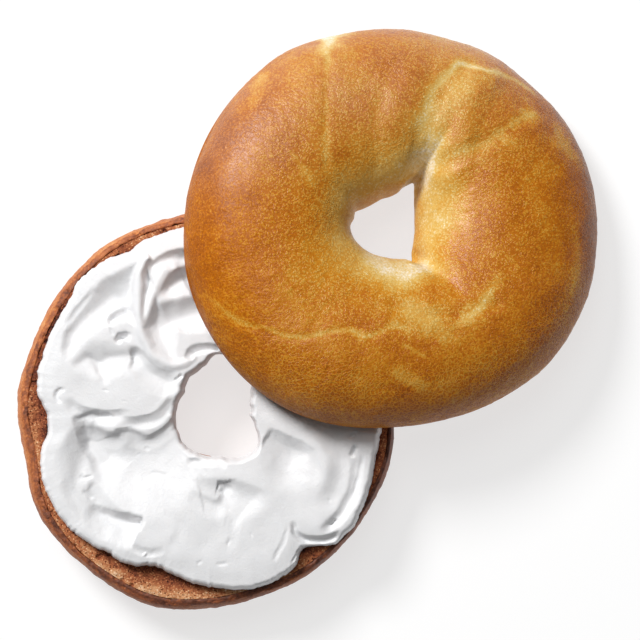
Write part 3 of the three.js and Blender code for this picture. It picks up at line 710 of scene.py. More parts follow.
class Spread:
    """The cheese's top, and what the knife does to it stroke by stroke. The strokes' heights are
    counted from LISTED_LEVEL, and `surface` scales them. Their places wander a little, so that no
    edge is quite smooth."""

    def __init__(self, grid, from_outside):
        wander = [0.22 * rough(grid, 9, seed) + 0.12 * rough(grid, 2.2, seed + 4) for seed in (201, 211)]
        self.x = grid[..., 0] + wander[0]
        self.y = grid[..., 1] + wander[1]
        sag = CHEESE_SAG / STROKE_DEPTH * np.exp(-(from_outside / CHEESE_SAG_WIDTH)**2)
        self.height = LISTED_LEVEL - sag + 0.1 * rough(grid, 12, 221)

    def surface(self):
        """Height of the cheese's top over the cut face."""
        return CHEESE_LEVEL + STROKE_DEPTH * (self.height - LISTED_LEVEL)

    def fall(self, route, width, depth, soft, reach, ends, dome=False):
        """A drop to the left of its route, as behind the edge of a knife: depth times 1 - (1 - t)^1.5
        for t = d / width, steepest at its crest, or t^2 under a dome, steepest at its foot. Past
        t = 1 the floor climbs back over `reach` widths. The crest is rounded by replacing d with
        (d + sqrt(d^2 + soft^2)) / 2."""
        near, distance, share, _ = beside(self.x, self.y, route, (1 + reach) * max(width) + soft)
        t = 0.5 * (distance + np.hypot(distance, soft)) / along(width, share)
        drop = t.clip(0, 1)**2 if dome else 1 - (1 - t.clip(0, 1))**1.5
        back = smoothstep(1 + reach, 1, t)
        self.height[near] -= along(depth, share) * fade_ends(share, ends) * drop * back

    def ridge(self, route, width, crest, blend, ends):
        """A rounded crest: crest - 0.6 (d / width)^2, joined to what it stands on by a soft
        maximum."""
        near, distance, share, _ = beside(self.x, self.y, route, 2.2 * max(width))
        q = abs(distance) / along(width, share)
        ridge = along(crest, share) - 0.6 * q * q - 1.6 * (1 - fade_ends(share, ends))
        height = self.height[near]
        a = (0.5 + 0.5 * (ridge - height) / blend).clip(0, 1)
        joined = height * (1 - a) + ridge * a + blend * a * (1 - a)
        self.height[near] = np.where(q < 2, joined, height)

    def settle(self, times):
        """Soft cheese sinks a little: each time, a point takes half its own height and a quarter
        of each neighbour's, first across the ring and then round it."""
        for _ in range(times):
            wide = np.pad(self.height, ((0, 0), (1, 1)), mode="edge")
            self.height = 0.5 * self.height + 0.25 * (wide[:, :-2] + wide[:, 2:])
            round_ring = np.roll(self.height, 1, 0) + np.roll(self.height, -1, 0)
            self.height = 0.5 * self.height + 0.25 * round_ring

    def groove(self, route, width, depth, ends=(0.3, 0.3)):
        """A rounded channel: depth times (1 - (d / width)^2)^1.5, faded at its ends."""
        near, distance, share, _ = beside(self.x, self.y, route, 1.2 * max(width))
        q = (abs(distance) / along(width, share)).clip(0, 1)
        self.height[near] -= along(depth, share) * fade_ends(share, ends) * (1 - q * q)**1.5


# Every stroke is its route, as seen from above with +Y up, then widths and depths or crests
# along it.

def bank_and_front(s):
    """The bank along the outer edge, the dome inside it and the long front below them."""
    s.fall([(-15.5, 39.2), (-19, 38), (-23.8, 35.5), (-27.5, 33.5), (-32, 27.5), (-35.8, 22.5),
            (-37.8, 17.5), (-37.5, 11)],
           (6, 6.6, 6, 4.4, 2.6, 2.2, 2, 1.6), (1.2, 1.35, 1.2, 0.9, 0.6, 0.55, 0.45, 0.15),
           soft=0.1, reach=2.2, ends=(0.03, 0.15))
    s.fall([(-17, 17.5), (-19.8, 17), (-23, 18), (-26.2, 19), (-29.8, 18.8), (-33, 17.5), (-35, 15.5),
            (-37.2, 12)],
           (1.6, 2.6, 4.4, 6.2, 6, 4.6, 3.6, 2.4), (0.2, 0.35, 0.6, 0.85, 0.85, 0.7, 0.5, 0.3),
           dome=True, soft=0.3, reach=2.6, ends=(0.1, 0.1))
    s.fall([(-8.8, -1.2), (-11.8, -4.2), (-15, -5.5), (-19.8, -5.5), (-23.8, -5.8), (-27.8, -5),
            (-31.2, -3.8), (-34, -2.2)],
           (4, 6, 7, 7, 6, 3.5), (0.8, 1.05, 1.25, 1.25, 1.2, 0.7),
           soft=0.2, reach=2.8, ends=(0.05, 0.2))


def bowls(s):
    """The bowls to the right: above the hole, beside the fork and under the top half."""
    s.fall([(0, 40), (-4.5, 38.2), (-6.5, 37.5), (-7.8, 36.8), (-9.5, 35), (-10.8, 33.2), (-11.2, 32),
            (-12.2, 29.8)],
           (5, 4.8, 4.6, 4.2, 3.6, 3, 2.4, 1.8), (1.6, 1.6, 1.5, 1.3, 1.05, 0.75, 0.5, 0.25),
           soft=0.1, reach=1.4, ends=(0.02, 0.15))
    s.fall([(-0.5, 31.8), (-3.8, 30.5), (-7, 29.5), (-9.8, 28.8), (-11.8, 28), (-13.8, 26.5),
            (-14.8, 24.2), (-15.2, 22.2), (-15, 20), (-14, 17.8), (-12.2, 15.5), (-10.5, 13.5),
            (-8.2, 12.2), (-6.2, 12.5)],
           (4.4, 4.8, 5.2, 5.6, 5.8, 5.8, 5.8, 5.4, 4.8, 4, 2.8, 2, 1.5, 1.4),
           (1, 1.1, 1.3, 1.45, 1.55, 1.6, 1.55, 1.4, 1.2, 0.9, 0.55, 0.35, 0.2, 0.15),
           soft=0.12, reach=1.8, ends=(0.03, 0.06))
    s.fall([(28.5, -21.8), (30.2, -19.2), (31, -16), (30.5, -13.2), (29.5, -10.8), (27.2, -9),
            (24.2, -7.5), (21.2, -6.2), (19.2, -5.5), (17.2, -4.5)],
           (1.5, 1.6, 1.8, 2.2, 2.6, 3, 3.2, 3.2, 3, 2.6),
           (0.06, 0.08, 0.1, 0.15, 0.25, 0.45, 0.6, 0.6, 0.55, 0.3),
           soft=0.1, reach=2.2, ends=(0.15, 0.04))
    s.groove([(17.2, -8.5), (20.8, -12.2), (24.5, -16.8), (27.8, -21.8)],
             (6.5, 7.5, 7.5, 6.5), (0.5, 0.6, 0.5), ends=(0.48, 0.48))
    s.fall([(24.8, -5.8), (28.5, -7.5), (30.8, -9.8), (32.2, -12.5), (32.5, -15.2), (32, -18.8),
            (30.5, -22), (28, -24)],
           (2.6, 3.2, 3.6, 3.8, 3.8, 3.4, 3), (0.15, 0.4, 0.6, 0.65, 0.6, 0.45, 0.2),
           soft=0.5, reach=2.4, ends=(0.15, 0.2))
    s.fall([(19.2, -25.5), (17.2, -23), (14.8, -20.8), (10.8, -19.2), (7.5, -18.2), (3.5, -18),
            (0.8, -18), (-1.8, -18), (-3.8, -18.8)],
           (3, 3.4, 3.8, 3.8, 3.6, 3.2, 2.8, 2.4), (0.15, 0.3, 0.45, 0.5, 0.5, 0.4, 0.25, 0.1),
           soft=0.12, reach=2.8, ends=(0.25, 0.1))


def fork(s):
    """The fork above the hole: two ridges that meet, with the hollows and marks between them."""
    s.ridge([(-4.5, 40.8), (-7.2, 39), (-9.8, 36.8), (-11.5, 34.5), (-13, 31.8), (-14.2, 28.8),
             (-15.2, 25.5), (-16.5, 21.5)],
            (2.4, 2.4, 2.1, 1.9, 1.7, 1.6, 1.5, 1.3), (3.9, 4.2, 4.3, 4.35, 4.4, 4.4, 4.35, 4.3),
            blend=0.5, ends=(0.1, 0.02))
    s.ridge([(-14, 40.8), (-15.8, 39), (-16.5, 37.2), (-17, 35.5), (-17.2, 32.5), (-17.5, 29.2),
             (-17.5, 26.2), (-17.2, 23), (-16.5, 19.8), (-15.2, 17), (-13.5, 14.2), (-11, 12.5),
             (-8.8, 11.5), (-6.2, 11.8), (-3.8, 13.2), (-1.8, 14.8), (0.2, 16.5)],
            (1.1, 1.3, 1.6, 1.6, 1.6, 1.6, 1.7, 1.7, 1.7, 1.6),
            (4.75, 4.7, 4.65, 4.6, 4.6, 4.6, 4.6, 4.5, 4.3, 4.1),
            blend=0.5, ends=(0.02, 0.1))
    s.fall([(0, 42.8), (-3.8, 42.5), (-5.2, 42.5), (-8.2, 42.2), (-11, 41.2), (-13, 39.8),
            (-14.5, 38.2), (-15, 36.5), (-15.2, 34), (-15.2, 31), (-15.2, 27.5)],
           (3, 2.9, 2.6, 2.1, 1.5, 1, 0.8, 0.7, 0.6),
           (1.2, 1.2, 1.05, 0.7, 0.42, 0.28, 0.2, 0.15, 0.08),
           soft=0.08, reach=1.5, ends=(0.02, 0.3))
    s.fall([(-2.2, 39.2), (-4.5, 38.2), (-6.5, 37.5), (-7.8, 36.8), (-9.5, 35), (-10.8, 33.2),
            (-11.2, 32), (-12.2, 29.8)],
           (2.6, 2.4, 2, 1.6, 1.2), (0.55, 0.55, 0.45, 0.3, 0.15),
           soft=0.08, reach=1.5, ends=(0.03, 0.2))
    s.fall([(-7.8, 38.8), (-10, 38.5), (-11, 37.8), (-11.2, 37)],
           (1.2, 1.1), (0.14, 0.14), soft=0.08, reach=1.5, ends=(0.3, 0.2))
    s.fall([(-6.5, 9.8), (-9.2, 10), (-11.8, 11), (-13.8, 12.5), (-15, 14), (-16.2, 15.5),
            (-17.5, 16.5), (-19.8, 16.8), (-21.2, 16.2)],
           (2.4, 2.8, 2.6, 2.4, 2.4, 2.4, 2.4), (0.4, 0.6, 0.6, 0.55, 0.65, 0.6, 0.3),
           soft=0.12, reach=1.8, ends=(0.15, 0.2))
    s.fall([(4.5, 17), (2.5, 17.5), (0, 17.5), (-2.2, 17.2), (-4.2, 16.2), (-5.2, 14.5), (-5.5, 13.2)],
           (1.8, 1.9, 2, 2, 1.6), (0.7, 0.8, 0.85, 0.85, 0.5), soft=0.08, reach=0.5, ends=(0.06, 0.06))
    s.groove([(-8.2, 7), (-7, 8), (-5.5, 9.2)], (0.7, 0.8), (0.25, 0.25))
    s.fall([(-6.2, 2.5), (-7.5, 0.2), (-7.8, -2.2)],
           (1.4, 1.8), (0.3, 0.45), soft=0.15, reach=0.9, ends=(0.25, 0.25))


def pits(s):
    """Two pits beside the fork, each open towards it."""
    s.fall([(-18.8, 27.5), (-21, 26.8), (-23.2, 26), (-24.8, 24.8), (-25.5, 23.5), (-25.2, 22.5),
            (-24.2, 21.8)],
           (2, 2.2, 2.3, 2.2, 1.8, 1.2), (0.4, 0.65, 0.85, 0.95, 0.8, 0.4),
           soft=0.05, reach=1.6, ends=(0.25, 0.15))
    s.fall([(-18.8, 20), (-20.5, 20.5), (-22, 20.2), (-23.2, 19.8), (-23.8, 18.5), (-23.5, 17.5),
            (-22.8, 16.8)],
           (1.5, 1.7, 1.8, 1.7, 1.4, 0.9), (0.45, 0.8, 0.95, 0.9, 0.65, 0.3),
           soft=0.05, reach=1, ends=(0.25, 0.15))
    s.groove([(-25, 22), (-24.5, 20.8), (-24, 19.2)], (0.5, 0.5), (0.15, 0.15))


def front_creases(s):
    """The double fold of the bank, and the ragged creases along the front."""
    s.groove([(-28.5, 32.5), (-30.8, 29.5), (-33, 26.8), (-35.2, 23.8), (-37.2, 20.8)],
             (0.8, 1, 0.8), (0.08, 0.13, 0.08), ends=(0.25, 0.3))
    s.fall([(-27.8, 33.8), (-29.5, 32.5), (-32, 29.5), (-34.5, 26.5), (-36.8, 23.8), (-38.2, 21.2)],
           (1.2, 1.2), (0.06, 0.1, 0.06), soft=0.15, reach=1.5, ends=(0.3, 0.3))
    s.fall([(-18.5, 0), (-21.5, 0.2), (-25, 0), (-29.5, 0.2), (-32.5, 1.2), (-34.2, 2.5), (-35.5, 4)],
           (1.4, 1.8, 2, 1.9, 1.4), (0.2, 0.35, 0.42, 0.35, 0.15),
           soft=0.08, reach=1.6, ends=(0.25, 0.15))
    s.fall([(-9, 5.5), (-9.8, 3.5), (-11, 1.5), (-13, -0.5), (-16.2, -1.5), (-19.8, -2), (-23, -0.8)],
           (1.8, 2.2, 2.4, 2.2, 1.4), (0.3, 0.4, 0.45, 0.4, 0.15),
           soft=0.08, reach=1.8, ends=(0.2, 0.2))
    s.groove([(-29.2, -1), (-27.5, -2), (-25.5, -1.8), (-24.2, -3.2)],
             (0.8, 1.1, 0.9), (0.2, 0.35, 0.25), ends=(0.25, 0.25))
    s.fall([(-7.8, -1.2), (-9.8, -3.2), (-11.2, -4.5), (-13, -6), (-15, -6.8), (-17, -6.2),
            (-19.5, -4.8), (-21, -4.8), (-23.5, -5), (-24, -6.2), (-25.5, -5.8), (-27.8, -4.5),
            (-29.2, -3), (-30, -3.5), (-31.8, -2.5), (-33, -2.5), (-34, -1.8)],
           (1.2, 1.4, 1.5, 1.4, 1.2), (0.3, 0.34, 0.36, 0.3, 0.15),
           soft=0.06, reach=2.5, ends=(0.05, 0.15))
    s.ridge([(-24.5, -4), (-24, -6.2)], (0.6, 0.3), (3.9, 3.4), blend=0.2, ends=(0.3, 0.15))
    s.ridge([(-31, -1.5), (-29.8, -3.5)], (0.6, 0.3), (3.9, 3.5), blend=0.2, ends=(0.3, 0.15))


def outer_strip(s):
    """On the outer left the strip along the edge with its soft valley, and the slot beside it."""
    s.fall([(-35.5, -1.8), (-35, -3.2), (-33.8, -6), (-32.8, -10), (-31.2, -13), (-29.5, -16.5),
            (-27.8, -19.8), (-25.5, -22.5)],
           (2, 2.6, 3, 3, 2.8, 2.4), (0.4, 0.8, 0.95, 0.85, 0.5, 0.2),
           soft=0.06, reach=3.2, ends=(0.08, 0.45))
    s.fall([(-37.8, -4.2), (-36.8, -7.5), (-36.2, -11.2), (-35.8, -16), (-34.8, -21.5), (-32.5, -25.5),
            (-29.8, -28.8), (-26.8, -31.2), (-23, -33.2)],
           (1.2, 1.4, 1.6, 1.9, 2.4, 2.6, 2.4), (0.02, 0.04, 0.06, 0.15, 0.35, 0.4, 0.2),
           soft=0.2, reach=1.8, ends=(0.2, 0.35))
    s.fall([(-14.5, -29), (-17.5, -27.8), (-20.5, -27), (-22, -26.2), (-23.8, -24.8), (-25.2, -23),
            (-26.8, -20.8), (-28.5, -19), (-29.8, -18)],
           (1.8, 2.4, 2.8, 2.8, 2.4, 1.6), (0.2, 0.3, 0.4, 0.4, 0.35, 0.2),
           soft=0.08, reach=1.6, ends=(0.25, 0.1))
    s.fall([(-14.8, -29.5), (-16.2, -28.5), (-18.2, -28.2), (-20.5, -28.2), (-23.2, -28),
            (-25.5, -27.2), (-27.5, -26.2), (-29, -24)],
           (0.8, 2, 2.8, 3, 2.6, 2.2, 1.8, 1.2), (0.7, 1, 1, 0.85, 0.65, 0.55, 0.4, 0.15),
           soft=0.04, reach=2.2, ends=(0.2, 0.2))
    s.groove([(-31, -24), (-29, -26), (-25.5, -27.8), (-22.5, -28.8), (-16, -29.9)],
             (1, 1.6, 2, 2.2, 2), (0.2, 0.4, 0.55, 0.65, 0.65), ends=(0.4, 0.05))
    s.fall([(-20.2, -32.8), (-23.2, -31.5), (-26.8, -28.5), (-30.2, -25), (-33, -20.8), (-34.2, -15.5)],
           (2.4, 2.8, 2.8, 2.6, 2.2), (0.2, 0.4, 0.42, 0.3, 0.12),
           soft=0.3, reach=1.2, ends=(0.35, 0.3))
    s.groove([(-33, -17.2), (-32, -18.2), (-30.5, -18), (-29.5, -17.5)],
             (0.5, 0.6, 0.5), (0.15, 0.18, 0.12), ends=(0.2, 0.2))
    s.groove([(-32.2, -21.2), (-30.8, -22.5), (-29.5, -23.8)],
             (0.5, 0.6), (0.18, 0.15), ends=(0.25, 0.3))
    s.groove([(-21.2, -35.5), (-17.5, -37), (-14.5, -37.8), (-11.8, -37.2), (-10, -36)],
             (1.1, 1.6, 1.3), (0.06, 0.16, 0.1))
    s.fall([(-11.8, -28.2), (-9.8, -29), (-8.2, -31), (-9, -33.2), (-10.8, -36)],
           (1.4, 1.6), (0.05, 0.07, 0.05), soft=0.2, reach=2, ends=(0.25, 0.25))
    s.ridge([(-16.2, -39.2), (-15.8, -38.2), (-14.8, -37.8)],
            (0.4, 0.6), (4.1, 4.3), blend=0.2, ends=(0.2, 0.3))
    s.groove([(-36.8, 5.5), (-38.5, 4.8), (-39, 3.2), (-37.8, 1.2)],
             (0.8, 1, 0.8), (0.2, 0.25, 0.15), ends=(0.25, 0.25))


def torn_flap(s):
    """The rim under the hole, the flap torn loose below it, and small marks round them."""
    s.groove([(-5.2, -14), (-2, -13.8), (1.5, -13.8), (4, -14), (6.2, -15)],
             (1.2, 1.3, 1.3, 1.2), (0.2, 0.35, 0.35, 0.25), ends=(0.2, 0.2))
    s.fall([(3.2, -18.5), (3.2, -19.5), (4, -20.8), (3.2, -21.8), (3.8, -22.8), (3.2, -23.8),
            (1.5, -23.2), (-0.8, -22.2), (-3, -20.2)],
           (1.4, 1.4, 1.4, 1.2), (0.4, 0.3, 0.25, 0.2, 0.08), soft=0.05, reach=3, ends=(0.04, 0.2))
    s.fall([(8.2, -20.5), (6.5, -19.8), (4.5, -19), (3.2, -18.8)],
           (1, 1.2, 1.1), (0.08, 0.2, 0.3), soft=0.06, reach=3, ends=(0.3, 0.05))
    s.groove([(4.2, -24), (7.8, -27.8), (8.2, -32), (7.2, -35.5), (4.5, -38.5)],
             (1.6, 1.9, 1.6), (0.03, 0.06, 0.03))
    s.groove([(5.8, -36), (6.5, -35.2), (7, -34.2)], (0.5, 0.5), (0.1, 0.1))
    s.groove([(-2, -40.8), (-0.2, -39.8)], (0.4, 0.4), (0.1, 0.1))
    s.groove([(3.2, -41), (6.5, -40.5)], (0.5, 0.5), (0.1, 0.1))
    s.groove([(-16, -10.2), (-15.2, -10.5), (-14.5, -10.8)], (0.5, 0.5), (0.07, 0.07))
    s.groove([(-15, -17.2), (-13, -17), (-11, -17.5), (-9.2, -17.2)],
             (0.6, 0.8, 0.6), (0.05, 0.08, 0.05))


def outer_streaks(s):
    """Streaks and lobes along the outer right edge."""
    s.fall([(39, -11.2), (38.5, -16), (37.8, -20.5), (36, -24), (34.2, -27), (31.8, -29.5),
            (29.5, -31.5)],
           (1.4, 1.7, 1.7), (0.2, 0.35, 0.4), soft=0.15, reach=1.6, ends=(0.2, 0.15))
    s.groove([(42.2, -11.2), (41.2, -16), (40.2, -20.5), (39, -23.8)],
             (0.8, 0.9), (0.15, 0.25), ends=(0.25, 0.25))
    s.groove([(40.2, -9.8), (39.5, -11), (38.8, -12.8)], (0.8, 0.8), (0.6, 0.5), ends=(0.25, 0.25))
    s.groove([(38, -7.8), (39.2, -7.2), (40.8, -6.2)], (0.8, 0.8), (0.4, 0.4))
    s.groove([(34.8, -29), (33, -30.8)], (0.5, 0.5), (0.45, 0.45), ends=(0.25, 0.25))
    s.fall([(35.8, -31.2), (33.8, -32.5), (31, -33.2), (28.8, -33.2), (26.8, -33.2), (25.2, -32.2),
            (24.5, -30.8), (24.2, -28.8)],
           (1.2, 1.5, 1.5, 1.4, 1.1, 0.9), (0.35, 0.7, 0.8, 0.7, 0.4, 0.15),
           soft=0.05, reach=1.2, ends=(0.15, 0.15))
    s.groove([(22, -29.5), (21.5, -32.8), (20, -36.5), (17.8, -40.5)],
             (0.7, 0.8, 0.8), (0.05, 0.09, 0.14), ends=(0.3, 0.2))
    s.groove([(25.2, -36.5), (24.2, -38.8), (22.8, -41)], (0.5, 0.6), (0.12, 0.18), ends=(0.3, 0.25))


def spread_strokes(s):
    """Every stroke of the knife, in the order in which it was made."""
    bank_and_front(s)
    bowls(s)
    s.settle(2)
    for marks in (fork, pits, front_creases, outer_strip, torn_flap, outer_streaks):
        marks(s)


def edge_rounding(distance):
    """A quarter circle: 0 at the cheese's edge, 1 where its top is clear of it."""
    return np.sqrt(1 - (1 - (distance / CHEESE_EDGE).clip(0, 1))**2)


def cheese_surface():
    """The spread: its top is the strokes' height, rounded down to a blunt edge that bulges a
    little and tucks under, and its bottom lies on the crumb. Where the top half leans over it, it
    is pressed down to just below that half's cut face."""
    angles = turns(CHEESE_TURNS)
    ring = circle(46, angles)
    wobble = 0.30 * rough(ring, 4, 241) + 0.16 * rough(ring, 1, 245)
    outer = outline_radius(CHEESE_OUTLINE, angles) + wobble
    hole = outline_radius(BASE_HOLE, angles) - CHEESE_OVERHANG + 0.35 * rough(0.3 * ring, 3, 248, 2)
    spokes = Spokes(BASE_HOLE_CENTRE, hole, outer, CHEESE_TURNS)
    width = spokes.width
    share = 0.5 - 0.5 * np.cos(math.pi * (0.08 + 0.84 * np.linspace(0, 1, 102)))
    share = (share - share[0]) / (share[-1] - share[0])
    across = width * share
    bulge = np.array([0.16, 0.26, 0.28, 0.18, -0.05, -0.45])
    down = np.array([1.0, 0.8, 0.55, 0.3, 0.1, -0.25])
    bottom = -0.45
    grid = spokes.points(
        (across, 0 * across),
        (width + bulge, down),
        (0.5 * width, np.array([bottom])),
        (-bulge[::-1], down[::-1]),
    )
    from_outside = width - across
    top = grid[:, :across.shape[1]]
    spread = Spread(top, from_outside)
    spread_strokes(spread)
    rounding = edge_rounding(across) * edge_rounding(from_outside)
    distance, own = bubbles(top, 3.1, 251)
    pits = 0.3 * (1 - (distance / 0.45)**2).clip(0) * (own > 0.9)
    free = CHEESE_RIM + (spread.surface() - pits - CHEESE_RIM) * rounding
    lean = math.radians(TOP_DIRECTION)
    toward = grid[..., 0] * math.cos(lean) + grid[..., 1] * math.sin(lean)
    underside = top_rest_height() + (TOP_SHIFT - toward) * math.tan(math.radians(TOP_TILT))
    pressed = underside - CLEARANCE - BASE_CUT
    top[..., 2] = np.maximum(np.minimum(free, pressed[:, :across.shape[1]]), CHEESE_LEAST)
    grid[..., 2] += BASE_CUT
    return grid


# ---------------------------------------------------------------------------------------------
# Materials
# ---------------------------------------------------------------------------------------------

def linear(code):
    """A colour's sRGB hex code as linear red, green, blue and alpha: each channel below 0.04045
    is divided by 12.92, and the others are ((c + 0.055) / 1.055)^2.4."""
    channels = [int(code[i:i + 2], 16) / 255 for i in (1, 3, 5)]
    return tuple(c / 12.92 if c <= 0.04045 else ((c + 0.055) / 1.055)**2.4 for c in channels) + (1.0,)


def per_metre(millimetres):
    """A texture's scale at which one of its features is that many millimetres across."""
    return 1 / (millimetres * MM)


def node(tree, kind, options=None, inputs=None):
    """Adds a shader node. Options are its own settings, and each input gets a number, a colour or
    another node's output."""
    made = tree.nodes.new("ShaderNode" + kind)
    for name, value in (options or {}).items():
        setattr(made, name, value)
    for name, value in (inputs or {}).items():
        if isinstance(value, bpy.types.NodeSocket):
            tree.links.new(value, made.inputs[name])
        else:
            made.inputs[name].default_value = value
    return made


def carried(tree, name):
    """A number that each point of the mesh carries under this name."""
    return node(tree, "Attribute", {"attribute_name": name}).outputs["Fac"]


def calculate(tree, operation, *values):
    """Arithmetic with numbers and outputs. MULTIPLY_ADD is first times second, plus third."""
    return node(tree, "Math", {"operation": operation}, dict(enumerate(values))).outputs[0]


def ease(tree, value, low, high, least=0.0, most=1.0):
    """From least to most by a smooth step, as the value goes from low to high."""
    return node(tree, "MapRange", {"interpolation_type": "SMOOTHSTEP"}, {
        "Value": value, "From Min": low, "From Max": high, "To Min": least, "To Max": most}).outputs[0]


def noise(tree, where, size, **more):
    """The outputs of cloudy noise whose features are that many millimetres across."""
    return node(tree, "TexNoise", {}, {"Vector": where, "Scale": per_metre(size), **more}).outputs


def cells(tree, where, spacing, feature="F1"):
    """Distance from the middles of cells scattered that many millimetres apart, or from their
    edges."""
    return node(tree, "TexVoronoi", {"feature": feature}, {
        "Vector": where, "Scale": per_metre(spacing), "Randomness": 1.0}).outputs["Distance"]


def colour_of(tree, level, colours):
    """The colour at a level, straight between stops of position and hex code."""
    made = node(tree, "ValToRGB", {}, {"Fac": level})
    elements = made.color_ramp.elements
    while len(elements) < len(colours):
        elements.new(0.5)
    for element, (position, code) in zip(elements, colours):
        element.position, element.color = position, linear(code)
    return made.outputs["Color"]


def bumps(tree, height, size):
    """The shading normal over bumps that are that many millimetres high."""
    return node(tree, "Bump", {}, {
        "Height": height, "Distance": size * MM, "Strength": 1.0}).outputs["Normal"]


def new_material(name):
    """An empty material with its own nodes, and object coordinates."""
    material = bpy.data.materials.new(name)
    material.use_nodes = True
    tree = material.node_tree
    tree.nodes.clear()
    where = node(tree, "TexCoord").outputs["Object"]
    return material, tree, where


def finish(tree, inputs):
    """The material's surface shader, with these inputs."""
    shader = node(tree, "BsdfPrincipled", {}, inputs)
    node(tree, "OutputMaterial", {}, {"Surface": shader.outputs["BSDF"]})


def crust_material(name, colours, gloss, blister_mm, fleck, bump_mm):
    """Baked dough skin. Its colour runs from pale dough to dark brown by how brown each point is
    baked, and by painted shade on the side turned from the light, with painted light on the top
    half's side that faces it. Hundreds of tiny blisters, whose thin tops brown less, give the eye
    its fine grain. The skin between them is finely wrinkled and keeps a satin shine from boiling,
    under a haze where the wrinkles scatter the light. `fleck` is how much paler the blisters' tops
    are, as a share of the whole browning."""
    material, tree, where = new_material(name)
    # how brown each point is baked, with painted shade and painted light in it
    browning_and_shade = carried(tree, "browning_and_shade")
    baked = ease(tree, browning_and_shade, 0.02, 0.42, least=0.25)

    wander = noise(tree, where, 1.3, Detail=2.0)["Color"]
    bent = node(tree, "VectorMath", {"operation": "MULTIPLY_ADD"},
                {0: wander, 1: (1.6 * MM,) * 3, 2: where}).outputs[0]
    small = ease(tree, cells(tree, bent, blister_mm), 0.62, 0.22)
    wide = ease(tree, cells(tree, bent, 1.5 * blister_mm, "DISTANCE_TO_EDGE"), 0.16, 0.03)
    mixed = node(tree, "Mix", {}, {0: carried(tree, "blisters"), 2: small, 3: wide}).outputs[0]
    tops = calculate(tree, "MULTIPLY", mixed, baked)
    large = ease(tree, cells(tree, where, 3.4 * blister_mm), 0.26, 0.12)
    large_tops = calculate(tree, "MULTIPLY", large, baked)

    clouds, grains = 0.36, 0.30  # how far they lift the browning, at most
    level = calculate(tree, "ADD", browning_and_shade, -0.5 * (clouds + grains) + 0.38 * fleck)
    for value, amount in ((noise(tree, where, 7, Detail=4.0, Roughness=0.6)["Fac"], clouds),
                          (noise(tree, where, 0.6, Detail=2.0)["Fac"], grains),
                          (tops, -fleck), (large_tops, -0.4 * fleck)):
        level = calculate(tree, "MULTIPLY_ADD", value, amount, level)

    slant = node(tree, "Mapping", {}, {
        "Vector": where, "Rotation": (0, 0, math.radians(35)), "Scale": (0.4, 1, 1)}).outputs[0]
    wrinkles = noise(tree, slant, 0.9, Detail=4.0, Roughness=0.6, Distortion=1.0)["Fac"]
    crumpled = ease(tree, noise(tree, where, 14, Detail=1.0)["Fac"], 0.42, 0.62, least=0.5, most=1.6)
    relief = calculate(tree, "MULTIPLY", wrinkles, crumpled)
    relief = calculate(tree, "MULTIPLY_ADD", tops, 0.4, relief)
    normal = bumps(tree, relief, bump_mm)
    finish(tree, {
        "Base Color": colour_of(tree, level, colours), "Roughness": gloss, "IOR": 1.4,
        "Specular IOR Level": calculate(tree, "MULTIPLY_ADD", carried(tree, "satin"), 0.45, 0.04),
        "Coat Weight": carried(tree, "haze"), "Coat Roughness": 0.56, "Coat IOR": 1.7,
        "Normal": normal, "Coat Normal": normal})
    return material


def golden_crust(settings):
    """Boiled and baked wheat dough, golden: the top half."""
    colours = ((0.0, "#f2e6d0"), (0.08, "#e6cf9c"), (0.18, "#dcb765"), (0.33, "#d29c40"),
               (0.48, "#ca8520"), (0.62, "#b9690f"), (0.80, "#9a500f"), (1.0, "#6c3814"))
    return crust_material("golden_boiled_crust", colours, gloss=settings.crust_gloss,
                          blister_mm=settings.blister / MM, fleck=0.21, bump_mm=0.14)


def toasted_crust(settings):
    """The same dough baked against the tray and toasted: drier, redder brown and nearly matt."""
    colours = ((0.0, "#f0c796"), (0.22, "#dd9e63"), (0.42, "#c67a45"), (0.6, "#a65e36"),
               (0.78, "#7a4630"), (1.0, "#4c2b20"))
    return crust_material("toasted_base_crust", colours, gloss=0.6,
                          blister_mm=1.2 * settings.blister / MM, fleck=0.12, bump_mm=0.12)


def toasted_crumb():
    """Toasted crumb: torn, porous and dry, so it has hardly any shine. High points are browned and
    the pores are dark, which is painted shade, with pale specks of unbrowned crumb between them.
    The toast level that each point carries also holds painted shade."""
    colours = ((0.0, "#ecc6a2"), (0.2, "#d39a6c"), (0.42, "#b06a42"), (0.62, "#8a4a2e"),
               (0.82, "#5a2c20"), (1.0, "#321713"))
    material, tree, where = new_material("toasted_crumb")
    grain = noise(tree, where, 0.7, Detail=4.0, Roughness=0.75)["Fac"]
    # painted shade: darker in the pores
    pores = ease(tree, cells(tree, where, 0.8), 0.34, 0.08)
    specks = ease(tree, cells(tree, where, 0.62), 0.44, 0.14)
    # the toast level carries toasting and painted shade
    level = carried(tree, "toast_and_shade")
    for value, amount in ((grain, 0.9), (pores, 0.25), (specks, -0.28)):
        level = calculate(tree, "MULTIPLY_ADD", value, amount, level)
    level = calculate(tree, "SUBTRACT", level, 0.42)
    finish(tree, {
        "Base Color": colour_of(tree, level, colours), "Roughness": 0.9, "Specular IOR Level": 0.3,
        "Normal": bumps(tree, calculate(tree, "SUBTRACT", grain, pores), 0.25)})
    return material


